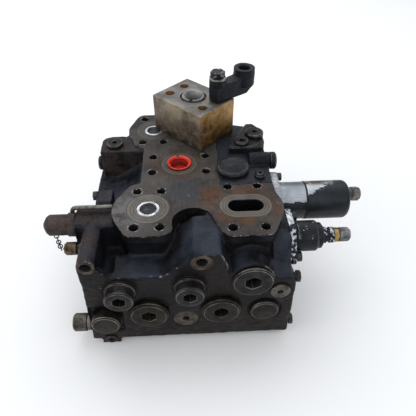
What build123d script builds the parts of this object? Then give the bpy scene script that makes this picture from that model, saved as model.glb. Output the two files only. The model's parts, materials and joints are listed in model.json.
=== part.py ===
import os
from build123d import *

os.makedirs("parts", exist_ok=True)

# Hydraulic monoblock valve, millimetres. X runs along the spool bore towards the
# spring housing, Y runs back from the plugged front face, Z is up from the base pad.

# Casting
deck_z = 137            # machined deck that carries every port
under_z = 7             # underside of the casting, above the base pad
block_z = 98            # top of the main block, under the deck
ledge_z = 108           # ledge in front of the left port
front_y = -118
back_y = 112
left_x = -112
housing_x = -118        # face of the left housing that carries the end cap
right_x = 79            # flat right wall that carries the spring housing
flank_x = 88            # wall that carries the relief valve
pad_depth = 12          # thickness of a port pad
neck_inset = 4          # how far the wall under a pad steps in
arch = (-4.5, -79)      # hollow in the deck between the two front ports
arch_r = 19.5

# Ports, on SAE four-bolt patterns
port_row_y = -58
left_port = (-47, port_row_y)
right_port = (47, port_row_y)
rear_port = (-47, 81)
centre_port = (-17, 12)
block_port = (1, 79)
small_pattern = (23.8, 50.8)     # 3/4 inch
large_pattern = (30.2, 58.7)     # 1 1/4 inch
centre_pattern = (57.15, 27.8)   # 1 inch
tap_r = 4.25                     # M10 tapping hole
tap_depth = 17
seat_r = 11
seat_depth = 5
poppet_r = 8.2
pocket_r = 8.27
pocket_depth = 34
slot_length = 34
slot_width = 16
slot_depth = 38

# Bores along X
spool_y = -22
spool_z = 109
spool_r = 11
spool_bore_r = 11.04
spool_bore_end = -54    # blind end of the spool bore
cap_z = 119             # bore behind the left end cap
relief_y = -72
relief_z = 106

# Mounting holes along Y
mount_tap_r = 5.1       # M12 tapping hole
mount_depth = 30
left_mount = (-99.8, 122.5)
centre_mount = (1.9, 124.3)

# Front face plugs: x and z of each axis
socket_plug_at = [(-74.3, 89), (-9.7, 92)]
flange_plug_at = [(-50.4, 53.5), (20.5, 55)]
big_plug_at = (49, 98)
small_plug_at = (76.5, 80)
foot_plug_at = (-93.6, 8.5)
blank_deep_at = (-93, 46)
blank_flush_at = (64, 49.5)
spotface_at = (-14.7, 37.5)
side_bolt_at = [(-110, 91, 91.5), (-112, 22, 92.8)]      # y, z and wall x
housing_screw_at = [(-39.5, 90.5), (-4.5, 90.5), (-4.5, 128)]
relief_screw_at = [(-91, 97), (-53, 115)]
cover_plug_at = [(53, 36), (69, 50)]
rear_top_plug = (-90.8, 55.5)
rear_side_plug = (55, 110)
deck_plug_at = (67, -14)
upper_coupling = (-79, 107.5)    # y and z
lower_coupling = (-106, 23)
coupling_r = 5
lug_x = -104            # face of the lug that carries the small hex plug
lug_plug_at = (-13.5, 117)
round_cover_at = (40, -2)
barrel_y = 14
barrel_z = 136.5
bore_gap = 0.05         # room between a plug's shank and its hole
seal_thick = 1.2

# Adaptor block and arm
block_length = 74
block_width = 57
block_height = 44
block_turn = Vector(1, -1, 0).normalized()
block_across = Vector(1, 1, 0).normalized()
block_bolt = (50.8, 23.8)
arm_turn = 32.5         # where the arm rests, degrees round from +X
arm_reach = 37          # bolt to eye
arm_height = 25
arm_half = 7.7
eye_low = 9             # underside and top of the eye, above the block
eye_high = 29


def rod(origin, axis, radius, length, mode=Mode.ADD):
    """Round bar or hole that starts at origin and runs along axis."""
    with BuildSketch(Plane(origin, z_dir=axis), mode=Mode.PRIVATE) as s:
        Circle(radius)
    extrude(s.sketch, amount=length, mode=mode)


def tube(origin, axis, outer, inner, length):
    """Ring or pipe with a round bore."""
    with BuildSketch(Plane(origin, z_dir=axis), mode=Mode.PRIVATE) as s:
        Circle(outer)
        Circle(inner, mode=Mode.SUBTRACT)
    extrude(s.sketch, amount=length)


def hexagon(origin, axis, flats, length, mode=Mode.ADD):
    """Six-sided bar or socket, flats is the spanner size."""
    with BuildSketch(Plane(origin, z_dir=axis), mode=Mode.PRIVATE) as s:
        RegularPolygon(flats / 2, 6, major_radius=False)
    extrude(s.sketch, amount=length, mode=mode)


def slab_z(points, low, high, mode=Mode.ADD):
    """Plan outline of (x, y) points raised from low to high."""
    with BuildSketch(Plane((0, 0, low)), mode=Mode.PRIVATE) as s:
        Polygon(*points, align=None)
    extrude(s.sketch, amount=high - low, mode=mode)


def slab_y(points, near, far, mode=Mode.ADD):
    """Front view outline of (x, z) points carried back from near to far."""
    flat = Plane((0, far, 0), x_dir=(1, 0, 0), z_dir=(0, -1, 0))
    with BuildSketch(flat, mode=Mode.PRIVATE) as s:
        Polygon(*points, align=None)
    extrude(s.sketch, amount=far - near, mode=mode)


def slab_x(points, low, high, mode=Mode.ADD):
    """Side view outline of (y, z) points carried across from low to high."""
    flat = Plane((low, 0, 0), x_dir=(0, 1, 0), z_dir=(1, 0, 0))
    with BuildSketch(flat, mode=Mode.PRIVATE) as s:
        Polygon(*points, align=None)
    extrude(s.sketch, amount=high - low, mode=mode)


def corners(pattern):
    """The four hole places of a rectangle centred on zero."""
    half_x, half_y = pattern[0] / 2, pattern[1] / 2
    return [(-half_x, -half_y), (half_x, -half_y), (half_x, half_y), (-half_x, half_y)]


def port_pad(centre, pattern, core_r, lug_r):
    """Port pad: a round core joined to four bolt lugs, on a narrower neck."""
    for step, low, high in ((0, deck_z - pad_depth, deck_z), (neck_inset, block_z, deck_z)):
        with BuildSketch(Plane((*centre, low)), mode=Mode.PRIVATE) as s:
            Circle(core_r - step)
            with Locations(*corners(pattern)):
                Circle(lug_r - step)
            make_hull()
        extrude(s.sketch, amount=high - low)


def turned(origin, axis, steps, mode=Mode.ADD):
    """Stepped round piece. steps holds (length, start radius, end radius)."""
    along = Vector(axis).normalized()
    at = Vector(origin)
    for length, r1, r2 in steps:
        if r1 == r2:
            rod(at, along, r1, length, mode)
        else:
            with BuildSketch(Plane(at, z_dir=along), mode=Mode.PRIVATE) as a:
                Circle(r1)
            with BuildSketch(Plane(at + along * length, z_dir=along), mode=Mode.PRIVATE) as b:
                Circle(r2)
            loft([a.sketch, b.sketch], mode=mode)
        at = at + along * length


def wire_ring(centre, normal, major, minor):
    """Round wire ring about centre, lying square to normal."""
    out = Plane(centre, z_dir=normal).x_dir
    with BuildSketch(Plane(Vector(centre) + out * major, x_dir=out,
                           z_dir=Vector(normal).cross(out)), mode=Mode.PRIVATE) as s:
        Circle(minor)
    revolve(s.sketch, axis=Axis(centre, normal))


def front_hole(at, radius, depth, mode=Mode.SUBTRACT, start=front_y):
    """Hole drilled straight back from the front face."""
    rod((at[0], start, at[1]), (0, 1, 0), radius, depth, mode)


# ---------------------------------------------------------------- casting
with BuildPart() as valve_body:
    # Main block: drafted front section, then the straight rear section.
    slab_y([(-113, under_z), (93, under_z), (91.5, 90), (flank_x, block_z), (-108.5, block_z)],
           front_y, -46)
    slab_z([(left_x, -50), (right_x, -50), (right_x, 98), (64, back_y), (-98, back_y),
            (left_x, 98)], under_z, block_z)
    # Deck and port pads.
    slab_z([(-57, -64), (30, -64), (right_x, -40), (right_x, 66), (70, 82), (36, 92), (-57, 92)],
           block_z, deck_z)
    port_pad(left_port, small_pattern, 35, 12)
    port_pad(right_port, large_pattern, 37, 11)
    port_pad(rear_port, small_pattern, 30, 10)
    rod((*block_port, block_z), (0, 0, 1), 37, deck_z - block_z)
    rod((*arch, block_z), (0, 0, 1), arch_r, 50, Mode.SUBTRACT)
    # Ledge and ridges that run to the front face.
    slab_y([(-83, block_z), (-79, ledge_z), (-33, ledge_z), (-28, block_z)], front_y, -88)
    slab_y([(-40, block_z), (-33, ledge_z), (-5, 133.5), (-2, 134.3), (18, 134.3),
            (20, 133), (26, 119), (28, block_z)], front_y, -66)
    rod((left_mount[0], front_y, left_mount[1]), (0, 1, 0), 9, 54)
    slab_y([(-108.8, block_z), (-108.8, 122.5), (-90.8, 122.5), (-90.8, block_z)],
           front_y, -64)
    slab_y([(-92, block_z), (-92, 121), (-83, 110), (-79, ledge_z), (-79, block_z)],
           front_y, -111)
    rod((big_plug_at[0], front_y, big_plug_at[1]), (0, 1, 0), 21, 28)
    slab_x([(front_y, block_z), (-80, block_z), (-80, 126), (-93, 126)], 68, 86)
    slab_x([(-100, block_z), (-46, block_z), (-46, 122), (-92, 122)], 60, flank_x)
    # Left housing under the drain pipe, and its foot.
    slab_x([(-71, 95), (-45, 95), (-45, 127), (-48, 129), (-68, 129), (-71, 126)],
           housing_x, -70)
    slab_y([(housing_x, 97), (-112, 78), (-105, 78), (-105, 97)], -68, -48)
    # Wall of the deck on the left, a lug on the ledge beside it, and the rear-left block.
    slab_y([(-57, block_z), (-57, 116), (-62, 116), (-90, block_z)], -33, 42)
    slab_x([(-31.5, block_z), (-9, block_z), (-9, 122), (-28, 122), (-31.5, 118)],
           lug_x, lug_x + 17)
    slab_z([(-107, 42), (-57, 42), (-57, 75), (-97, 75), (-104, 72), (-107, 66)], 60, 134)
    # Cross barrel on the right of the deck.
    rod((58, barrel_y, barrel_z), (1, 0, 0), 10, 24)
    # Base pad and front foot.
    slab_z([(-70, -70), (70, -70), (70, 70), (-70, 70)], 0, under_z)
    rod((foot_plug_at[0], front_y, 9.5), (0, 1, 0), 9.5, 30)
    slab_z([(-104, front_y), (-84, front_y), (-84, -88), (-104, -88)], 0, under_z)
    # Recess round the deep blank plug.
    slab_y([(-109, 22), (-78, 22), (-78, 64), (-109, 64)], front_y, front_y + 4, Mode.SUBTRACT)
    # Flat seat for the relief valve's flange.
    slab_x([(-102, 86), (-44, 86), (-44, 99), (-102, 99)], flank_x, 94, Mode.SUBTRACT)

    # Port bolt holes.
    for centre, pattern in ((left_port, small_pattern), (right_port, large_pattern),
                            (rear_port, small_pattern), (centre_port, centre_pattern)):
        for dx, dy in corners(pattern):
            rod((centre[0] + dx, centre[1] + dy, deck_z), (0, 0, -1), tap_r, tap_depth,
                Mode.SUBTRACT)
    for du, dv in corners(block_bolt):
        at = Vector(*block_port, deck_z) + block_turn * du + block_across * dv
        rod(at, (0, 0, -1), tap_r, tap_depth, Mode.SUBTRACT)
    # Port bores.
    for x, y in (left_port, rear_port):
        rod((x, y, deck_z), (0, 0, -1), seat_r, seat_depth, Mode.SUBTRACT)
        rod((x, y, deck_z), (0, 0, -1), pocket_r, pocket_depth, Mode.SUBTRACT)
    with BuildSketch(Plane((*right_port, deck_z))):
        SlotOverall(slot_length, slot_width)
    extrude(amount=-slot_depth, mode=Mode.SUBTRACT)
    rod((*centre_port, deck_z), (0, 0, -1), 10, 30, Mode.SUBTRACT)
    rod((*block_port, deck_z), (0, 0, -1), 9, 34, Mode.SUBTRACT)
    # Galleries from the ports to the spool bore.
    rod((left_port[0], left_port[1], 108), (0, 1, 0), 4.5, 36, Mode.SUBTRACT)
    rod((right_port[0], right_port[1], 104), (0, 1, 0), 6, 36, Mode.SUBTRACT)
    rod((rear_port[0], rear_port[1], 108), (0, -1, 0), 4.5, 103, Mode.SUBTRACT)
    rod((centre_port[0], centre_port[1], 109), (0, -1, 0), 6, 34, Mode.SUBTRACT)
    rod((block_port[0], block_port[1], 108), (0, -1, 0), 4.5, 101, Mode.SUBTRACT)
    # Bores along X: spool, left end cap, relief valve, barrel.
    rod((right_x + 2, spool_y, spool_z), (-1, 0, 0), spool_bore_r,
        right_x + 2 - spool_bore_end, Mode.SUBTRACT)
    rod((housing_x, port_row_y, cap_z), (1, 0, 0), 6, 64, Mode.SUBTRACT)
    rod((flank_x, relief_y, relief_z), (-1, 0, 0), 8, 50, Mode.SUBTRACT)
    rod((flank_x, relief_y, relief_z), (-1, 0, 0), 10, 22, Mode.SUBTRACT)
    for y, z in relief_screw_at:
        rod((flank_x, y, z), (-1, 0, 0), 3.3, 16, Mode.SUBTRACT)
    rod((82, barrel_y, barrel_z), (-1, 0, 0), 6, 14, Mode.SUBTRACT)
    # Mounting holes.
    for at in (left_mount, centre_mount):
        front_hole(at, mount_tap_r, mount_depth)
        front_hole(at, mount_tap_r + 1.2, 1.2)
    # Plug holes and spot faces in the front face.
    for at in socket_plug_at:
        front_hole(at, 17, 1.5)
        front_hole(at, 10, 24)
    for at in flange_plug_at:
        front_hole(at, 20.5, 1)
        front_hole(at, 13, 26)
    front_hole(big_plug_at, 15, 26)
    front_hole(small_plug_at, 10.5, 1)
    front_hole(small_plug_at, 7, 16)
    front_hole(foot_plug_at, 4.5, 14)
    front_hole(blank_deep_at, 10, 22)
    front_hole(blank_flush_at, 17, 2.5)
    front_hole(blank_flush_at, 11, 20)
    front_hole(spotface_at, 13, 1.2)
    front_hole(spotface_at, 3.3, 14)
    # Threaded holes for the pieces on the left, rear and right.
    rod((-112, *upper_coupling), (1, 0, 0), coupling_r, 18, Mode.SUBTRACT)
    rod((-114, *lower_coupling), (1, 0, 0), coupling_r, 18, Mode.SUBTRACT)
    rod((*rear_top_plug, 134), (0, 0, -1), 7, 18, Mode.SUBTRACT)
    rod((-107, *rear_side_plug), (1, 0, 0), 6, 14, Mode.SUBTRACT)
    for y, z, x in side_bolt_at:
        rod((x + 2, y, z), (-1, 0, 0), 4, 12, Mode.SUBTRACT)
        rod((x, y, z), (1, 0, 0), 8.5, 4, Mode.SUBTRACT)
    rod((lug_x, *lug_plug_at), (1, 0, 0), 3, 10, Mode.SUBTRACT)
    rod((*round_cover_at, deck_z), (0, 0, -1), 10, 12, Mode.SUBTRACT)
    rod((*deck_plug_at, deck_z), (0, 0, -1), 3.3, 10, Mode.SUBTRACT)
    for x, y in cover_plug_at:
        rod((x, y, deck_z), (0, 0, -1), 6, 14, Mode.SUBTRACT)
    for y, z in housing_screw_at:
        rod((right_x + 2, y, z), (-1, 0, 0), 3.3, 16, Mode.SUBTRACT)
valve_body.part.label = "valve_body"

# ---------------------------------------------------------------- front face pieces
with BuildPart() as socket_plug_seals:
    for x, z in socket_plug_at:
        tube((x, front_y + 1.5, z), (0, -1, 0), 14.5, 10.2, seal_thick)
socket_plug_seals.part.label = "socket_plug_seals"

with BuildPart() as socket_plugs:
    for x, z in socket_plug_at:
        seat = front_y + 1.5 - seal_thick
        turned((x, seat, z), (0, -1, 0), [(2.5, 14.5, 14.5), (8, 13, 13), (1.6, 13, 13.9),
                                          (1.4, 13.9, 12.6)])
        rod((x, seat, z), (0, 1, 0), 10 - bore_gap, 20)
        hexagon((x, seat - 13.5, z), (0, 1, 0), 12, 9, Mode.SUBTRACT)
        rod((x, seat - 13.5, z), (0, 1, 0), 5, 11, Mode.SUBTRACT)
socket_plugs.part.label = "socket_plugs"

with BuildPart() as flange_plug_seals:
    for x, z in flange_plug_at:
        tube((x, front_y + 1, z), (0, -1, 0), 16, 13.2, seal_thick)
flange_plug_seals.part.label = "flange_plug_seals"

with BuildPart() as flange_plugs:
    for x, z in flange_plug_at:
        seat = front_y + 1 - seal_thick
        turned((x, seat, z), (0, -1, 0), [(3.6, 19.3, 19.3), (1.8, 19.3, 16.8)])
        rod((x, seat, z), (0, 1, 0), 13 - bore_gap, 22)
        hexagon((x, seat - 5.4, z), (0, 1, 0), 14, 11, Mode.SUBTRACT)
        rod((x, seat - 5.4, z), (0, 1, 0), 6, 13, Mode.SUBTRACT)
flange_plugs.part.label = "flange_plugs"

with BuildPart() as compensator_plug_seal:
    tube((big_plug_at[0], front_y, big_plug_at[1]), (0, -1, 0), 18, 15.2, seal_thick)
compensator_plug_seal.part.label = "compensator_plug_seal"

with BuildPart() as compensator_plug:
    x, z = big_plug_at
    seat = front_y - seal_thick
    turned((x, seat, z), (0, -1, 0), [(1.6, 19.5, 19.5), (1.4, 19.5, 18)])
    rod((x, seat, z), (0, 1, 0), 15 - bore_gap, 23)
    hexagon((x, seat - 3, z), (0, 1, 0), 15, 12, Mode.SUBTRACT)
    rod((x, seat - 3, z), (0, 1, 0), 6.4, 14, Mode.SUBTRACT)
compensator_plug.part.label = "compensator_plug"

with BuildPart() as gallery_plug:
    x, z = small_plug_at
    turned((x, front_y + 1, z), (0, -1, 0), [(2.2, 9.8, 9.8), (0.8, 9.8, 8.8)])
    rod((x, front_y + 1, z), (0, 1, 0), 7 - bore_gap, 8)
    hexagon((x, front_y - 2, z), (0, 1, 0), 6, 7, Mode.SUBTRACT)
gallery_plug.part.label = "gallery_plug"

with BuildPart() as blank_plugs:
    x, z = blank_deep_at
    turned((x, front_y + 4, z), (0, -1, 0), [(12, 14, 14), (1.5, 14, 12.5)])
    rod((x, front_y + 4, z), (0, 1, 0), 10 - bore_gap, 14)
    x, z = blank_flush_at
    turned((x, front_y + 2.5, z), (0, -1, 0), [(4, 14.6, 14.6), (1.3, 14.6, 13.2)])
    rod((x, front_y + 2.5, z), (0, 1, 0), 11 - bore_gap, 14)
blank_plugs.part.label = "blank_plugs"

with BuildPart() as foot_plug:
    x, z = foot_plug_at
    turned((x, front_y, z), (0, -1, 0), [(1.2, 6.2, 6.2), (0.6, 6.2, 5.4)])
    rod((x, front_y, z), (0, 1, 0), 4.5 - bore_gap, 11)
    hexagon((x, front_y - 1.8, z), (0, 1, 0), 5, 5, Mode.SUBTRACT)
foot_plug.part.label = "foot_plug"

# ---------------------------------------------------------------- left side
pipe_y = -50
pipe_z = 133.5
pipe_r = 2.2
collar_x = housing_x
pipe_drop_x = housing_x - 3.5

with BuildPart() as left_cap_collar:
    tube((collar_x, port_row_y, cap_z), (-1, 0, 0), 11.8, 6.1, 7)
    rod((pipe_drop_x, pipe_y, 126.2), (0, 0, 1), pipe_r + bore_gap, 12, Mode.SUBTRACT)
left_cap_collar.part.label = "left_cap_collar"

with BuildPart() as left_end_cap:
    turned((collar_x - 7, port_row_y, cap_z), (-1, 0, 0),
           [(18.5, 10.4, 10.4), (2.5, 10.4, 8.6), (3, 8.6, 3.4)])
    rod((collar_x - 7, port_row_y, cap_z), (1, 0, 0), 6 - bore_gap, 21)
    for x in (-128, -140):
        rod((x, port_row_y, cap_z - 9), (0, 0, -1), 1.1, 3.2)
left_end_cap.part.label = "left_end_cap"

with BuildPart() as drain_pipe:
    with BuildLine() as pipe_path:
        FilletPolyline((pipe_drop_x, pipe_y, 126.2), (pipe_drop_x, pipe_y, pipe_z),
                       (-82, pipe_y, pipe_z), radius=5)
    with BuildSketch(Plane((pipe_drop_x, pipe_y, 126.2))):
        Circle(pipe_r)
        Circle(pipe_r - 0.7, mode=Mode.SUBTRACT)
    sweep()
drain_pipe.part.label = "drain_pipe"

upper_stem = (-109, *upper_coupling)
upper_cap_x = -116
with BuildPart() as upper_test_coupling:
    hexagon(upper_stem, (-1, 0, 0), 11, 4)
    rod(upper_stem, (-1, 0, 0), 4.2, 14)
    rod(upper_stem, (1, 0, 0), coupling_r - bore_gap, 13)
upper_test_coupling.part.label = "upper_test_coupling"

with BuildPart() as upper_dust_cap:
    turned((upper_cap_x, *upper_coupling), (-1, 0, 0), [(10, 6.4, 6.4), (1.5, 6.4, 5)])
    rod((upper_cap_x, *upper_coupling), (-1, 0, 0), 4.25, 8, Mode.SUBTRACT)
    rod((upper_cap_x - 11.5, *upper_coupling), (-1, 0, 0), 1.2, 2)
upper_dust_cap.part.label = "upper_dust_cap"

# Chain of wire rings from the dust cap's nose up to the eye under the end cap.
chain_start = Vector(-133.1, -77.6, 107.9)
chain_end = Vector(-139.8, -63.2, 106)
ring_r = 2.3
wire_r = 0.4
ring_pitch = 3.6
chain_dir = (chain_end - chain_start).normalized()
ring_up = chain_dir.cross(Vector(0, 0, 1)).normalized()
ring_flat = chain_dir.cross(ring_up)
ring_count = int((chain_end - chain_start).length / ring_pitch) + 1
with BuildPart() as cap_chain:
    for i in range(ring_count):
        wire_ring(chain_start + chain_dir * ring_pitch * i,
                  ring_up if i % 2 else ring_flat, ring_r, wire_r)
cap_chain.part.label = "cap_chain"

lower_stem = (-113, *lower_coupling)
lower_cap_x = -117.5
with BuildPart() as lower_test_coupling:
    turned(lower_stem, (-1, 0, 0), [(4, 8.5, 8.5), (10, 6, 6)])
    rod(lower_stem, (1, 0, 0), coupling_r - bore_gap, 14)
lower_test_coupling.part.label = "lower_test_coupling"

with BuildPart() as lower_dust_cap:
    turned((lower_cap_x, *lower_coupling), (-1, 0, 0), [(12.5, 9.4, 9.4), (1.5, 9.4, 8)])
    rod((lower_cap_x, *lower_coupling), (-1, 0, 0), 6.05, 10.5, Mode.SUBTRACT)
lower_dust_cap.part.label = "lower_dust_cap"

# ---------------------------------------------------------------- rear pieces
with BuildPart() as rear_left_plugs:
    turned((*rear_top_plug, 134), (0, 0, 1), [(3.2, 9.6, 9.6), (1, 9.6, 8.4)])
    rod((*rear_top_plug, 134), (0, 0, -1), 7 - bore_gap, 14)
    hexagon((*rear_top_plug, 138.2), (0, 0, -1), 6, 7, Mode.SUBTRACT)
    turned((-107, *rear_side_plug), (-1, 0, 0), [(4.5, 8.4, 8.4), (1.2, 8.4, 7)])
    rod((-107, *rear_side_plug), (1, 0, 0), 6 - bore_gap, 11)
rear_left_plugs.part.label = "rear_left_plugs"

cover_outline = [(36, 26.5), (66, 26.5), (79, 37), (79, 63), (70, 76), (62, 76)]

with BuildPart() as pilot_cover_gasket:
    slab_z(cover_outline, deck_z, deck_z + 0.8)
    for x, y in cover_plug_at:
        rod((x, y, deck_z), (0, 0, 1), 6.5, 2, Mode.SUBTRACT)
pilot_cover_gasket.part.label = "pilot_cover_gasket"

with BuildPart() as pilot_cover:
    slab_z(cover_outline, deck_z + 0.8, deck_z + 9)
    fillet(pilot_cover.edges().filter_by(Axis.Z), 3)
    chamfer(pilot_cover.faces().sort_by(Axis.Z)[-1].edges(), 1.2)
    for x, y in cover_plug_at:
        rod((x, y, deck_z), (0, 0, 1), 6 + bore_gap, 12, Mode.SUBTRACT)
pilot_cover.part.label = "pilot_cover"

with BuildPart() as pilot_cover_plugs:
    for (x, y), r, h in zip(cover_plug_at, (8.2, 10.2), (3, 4.5)):
        turned((x, y, deck_z + 9), (0, 0, 1), [(h, r, r), (1, r, r - 1.2)])
        rod((x, y, deck_z + 9), (0, 0, -1), 6 - bore_gap, 18)
        hexagon((x, y, deck_z + 10 + h), (0, 0, -1), 6, 6, Mode.SUBTRACT)
pilot_cover_plugs.part.label = "pilot_cover_plugs"

with BuildPart() as round_cover:
    turned((*round_cover_at, deck_z), (0, 0, 1), [(5, 17.4, 17.4), (1.5, 17.4, 15.8)])
    rod((*round_cover_at, deck_z), (0, 0, -1), 10 - bore_gap, 10)
    rod((*round_cover_at, deck_z + 5.7), (0, 0, 1), 12, 2, Mode.SUBTRACT)
    with BuildSketch(Plane((*round_cover_at, deck_z + 4.7))):
        Rectangle(11, 2)
    extrude(amount=2, mode=Mode.SUBTRACT)
round_cover.part.label = "round_cover"

with BuildPart() as barrel_end_plug:
    turned((82, barrel_y, barrel_z), (1, 0, 0), [(5, 9.4, 9.4), (1.4, 9.4, 7.8)])
    rod((82, barrel_y, barrel_z), (-1, 0, 0), 6 - bore_gap, 11)
barrel_end_plug.part.label = "barrel_end_plug"

with BuildPart() as deck_plug:
    turned((*deck_plug_at, deck_z), (0, 0, 1), [(3, 5.6, 5.6), (2, 5.6, 3.4)])
    rod((*deck_plug_at, deck_z), (0, 0, -1), 3.3 - bore_gap, 8)
    hexagon((*deck_plug_at, deck_z + 5), (0, 0, -1), 4, 3, Mode.SUBTRACT)
deck_plug.part.label = "deck_plug"

with BuildPart() as side_bolts:
    for y, z, x in side_bolt_at:
        hexagon((x, y, z), (1, 0, 0), 10, 4)
        rod((x, y, z), (-1, 0, 0), 4 - bore_gap, 8)
    hexagon((lug_x, *lug_plug_at), (-1, 0, 0), 9, 4.5)
    rod((lug_x, *lug_plug_at), (1, 0, 0), 3 - bore_gap, 8)
side_bolts.part.label = "side_bolts"

# ---------------------------------------------------------------- spool and its spring housing
flange_x = right_x + 8     # outer face of the housing's flange
seam_x = 114
cap_end_x = 161.5
cap_r = 20.5

with BuildPart() as spring_housing:
    slab_x([(-44, 86), (0, 86), (0, 133), (-28, 133), (-44, 116)], right_x, flange_x)
    fillet(spring_housing.edges().filter_by(Axis.X), 4)
    rod((flange_x, spool_y, spool_z), (1, 0, 0), 20, seam_x - flange_x)
    rod((right_x, spool_y, spool_z), (1, 0, 0), spool_bore_r, 8, Mode.SUBTRACT)
    rod((flange_x, spool_y, spool_z), (1, 0, 0), 15, seam_x - flange_x, Mode.SUBTRACT)
    for y, z in housing_screw_at:
        rod((right_x, y, z), (1, 0, 0), 3.4, 8, Mode.SUBTRACT)
spring_housing.part.label = "spring_housing"

with BuildPart() as housing_screws:
    for y, z in housing_screw_at:
        rod((flange_x, y, z), (1, 0, 0), 4.3, 5)
        rod((flange_x, y, z), (-1, 0, 0), 3.3 - bore_gap, 20)
        hexagon((flange_x + 5, y, z), (-1, 0, 0), 4, 3, Mode.SUBTRACT)
housing_screws.part.label = "housing_screws"

with BuildPart() as housing_seal:
    tube((seam_x, spool_y, spool_z), (1, 0, 0), 20.4, 15.5, 1.5)
housing_seal.part.label = "housing_seal"

fitting_at = (-20, 114)     # the end fitting sits above the cap's axis
with BuildPart() as spring_cap:
    rod((seam_x + 1.5, spool_y, spool_z), (1, 0, 0), cap_r, cap_end_x - seam_x - 1.5)
    fillet(spring_cap.faces().sort_by(Axis.X)[-1].edges(), 6)
    rod((seam_x + 1.5, spool_y, spool_z), (1, 0, 0), 15, 38, Mode.SUBTRACT)
    rod((seam_x + 30, *fitting_at), (1, 0, 0), 4, 30, Mode.SUBTRACT)
spring_cap.part.label = "spring_cap"

with BuildPart() as end_fitting:
    hexagon((cap_end_x, *fitting_at), (1, 0, 0), 13, 5.5)
    rod((cap_end_x, *fitting_at), (-1, 0, 0), 4 - bore_gap, 7)
    rod((cap_end_x + 5.5, *fitting_at), (1, 0, 0), 4, 6)
end_fitting.part.label = "end_fitting"

with BuildPart() as end_nut:
    hexagon((cap_end_x + 5.5, *fitting_at), (1, 0, 0), 14, 7)
    turned((cap_end_x + 12.5, *fitting_at), (1, 0, 0), [(1.5, 6.6, 6.6), (1, 6.6, 5)])
    rod((cap_end_x + 5.5, *fitting_at), (1, 0, 0), 4 + bore_gap, 7, Mode.SUBTRACT)
end_nut.part.label = "end_nut"

with BuildPart() as spool:
    for start, end, r in ((-45, -28, spool_r), (-28, -10, 7), (-10, 12, spool_r),
                          (12, 40, 7), (40, 84, spool_r), (84, 112, 5)):
        rod((start, spool_y, spool_z), (1, 0, 0), r, end - start)
    rod((112, spool_y, spool_z), (-1, 0, 0), 2.5, 16, Mode.SUBTRACT)
spool.part.label = "spool"

seat_disc_x = 91.4
with BuildPart() as inner_spring_seat:
    tube((flange_x, spool_y, spool_z), (1, 0, 0), 14.6, 11.4, seat_disc_x - flange_x)
    tube((seat_disc_x, spool_y, spool_z), (1, 0, 0), 14.6, 5.6, 1.2)
    tube((seat_disc_x + 1.2, spool_y, spool_z), (1, 0, 0), 9.5, 5.6, 1.4)
inner_spring_seat.part.label = "inner_spring_seat"

with BuildPart() as outer_spring_seat:
    tube((112, spool_y, spool_z), (1, 0, 0), 14, 2.6, 2.4)
outer_spring_seat.part.label = "outer_spring_seat"

with BuildPart() as spool_screw:
    rod((114.4, spool_y, spool_z), (1, 0, 0), 5, 5)
    rod((114.4, spool_y, spool_z), (-1, 0, 0), 2.5 - bore_gap, 16)
    hexagon((119.4, spool_y, spool_z), (-1, 0, 0), 4, 3, Mode.SUBTRACT)
spool_screw.part.label = "spool_screw"

with BuildPart() as spool_spring:
    with BuildLine():
        coil = Helix(4.2, 17, 11.6, center=(93.8, spool_y, spool_z), direction=(1, 0, 0))
    with BuildSketch(Plane(coil @ 0, z_dir=coil % 0)):
        Circle(1.1)
    sweep(is_frenet=True)
spool_spring.part.label = "spool_spring"

# ---------------------------------------------------------------- relief valve
relief_at = (flank_x, relief_y, relief_z)

with BuildPart() as relief_flange:
    with BuildSketch(Plane(relief_at, x_dir=(0, 1, 0), z_dir=(1, 0, 0))):
        Circle(17)
        with Locations(*[(y - relief_y, z - relief_z) for y, z in relief_screw_at]):
            Circle(7.6)
        make_hull()
    extrude(amount=6)
    rod(relief_at, (1, 0, 0), 10, 6, Mode.SUBTRACT)
    for y, z in relief_screw_at:
        rod((flank_x, y, z), (1, 0, 0), 3.4, 6, Mode.SUBTRACT)
relief_flange.part.label = "relief_flange"

with BuildPart() as relief_screws:
    for y, z in relief_screw_at:
        rod((flank_x + 6, y, z), (1, 0, 0), 5, 6)
        rod((flank_x + 6, y, z), (-1, 0, 0), 3.3 - bore_gap, 18)
        hexagon((flank_x + 12, y, z), (-1, 0, 0), 5, 3.5, Mode.SUBTRACT)
relief_screws.part.label = "relief_screws"

with BuildPart() as relief_body:
    turned((flank_x + 6, relief_y, relief_z), (1, 0, 0),
           [(2, 14, 14), (19.5, 15.4, 15.4), (2, 15.4, 14)])
    rod((flank_x + 6, relief_y, relief_z), (-1, 0, 0), 10 - bore_gap, 27)
    rod((61, relief_y, relief_z), (1, 0, 0), 5, 60, Mode.SUBTRACT)
relief_body.part.label = "relief_body"

with BuildPart() as relief_ring:
    tube((117.5, relief_y, relief_z), (1, 0, 0), 13, 5, 4)
    tube((121.5, relief_y, relief_z), (1, 0, 0), 11, 5, 1.5)
relief_ring.part.label = "relief_ring"

with BuildPart() as relief_collar:
    for start, end, r in ((123, 127, 8.2), (127, 130, 6.8), (130, 134.5, 8)):
        tube((start, relief_y, relief_z), (1, 0, 0), r, 4.5, end - start)
relief_collar.part.label = "relief_collar"

with BuildPart() as relief_lock_nut:
    hexagon((134.5, relief_y, relief_z), (1, 0, 0), 13, 5)
    rod((134.5, relief_y, relief_z), (1, 0, 0), 4.5, 6, Mode.SUBTRACT)
relief_lock_nut.part.label = "relief_lock_nut"

with BuildPart() as relief_adjuster:
    rod((104, relief_y, relief_z), (1, 0, 0), 4.45, 36)
    turned((140, relief_y, relief_z), (1, 0, 0), [(9.5, 7.2, 7.2), (1.5, 7.2, 5.8)])
    hexagon((151, relief_y, relief_z), (-1, 0, 0), 5, 4, Mode.SUBTRACT)
relief_adjuster.part.label = "relief_adjuster"

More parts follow.
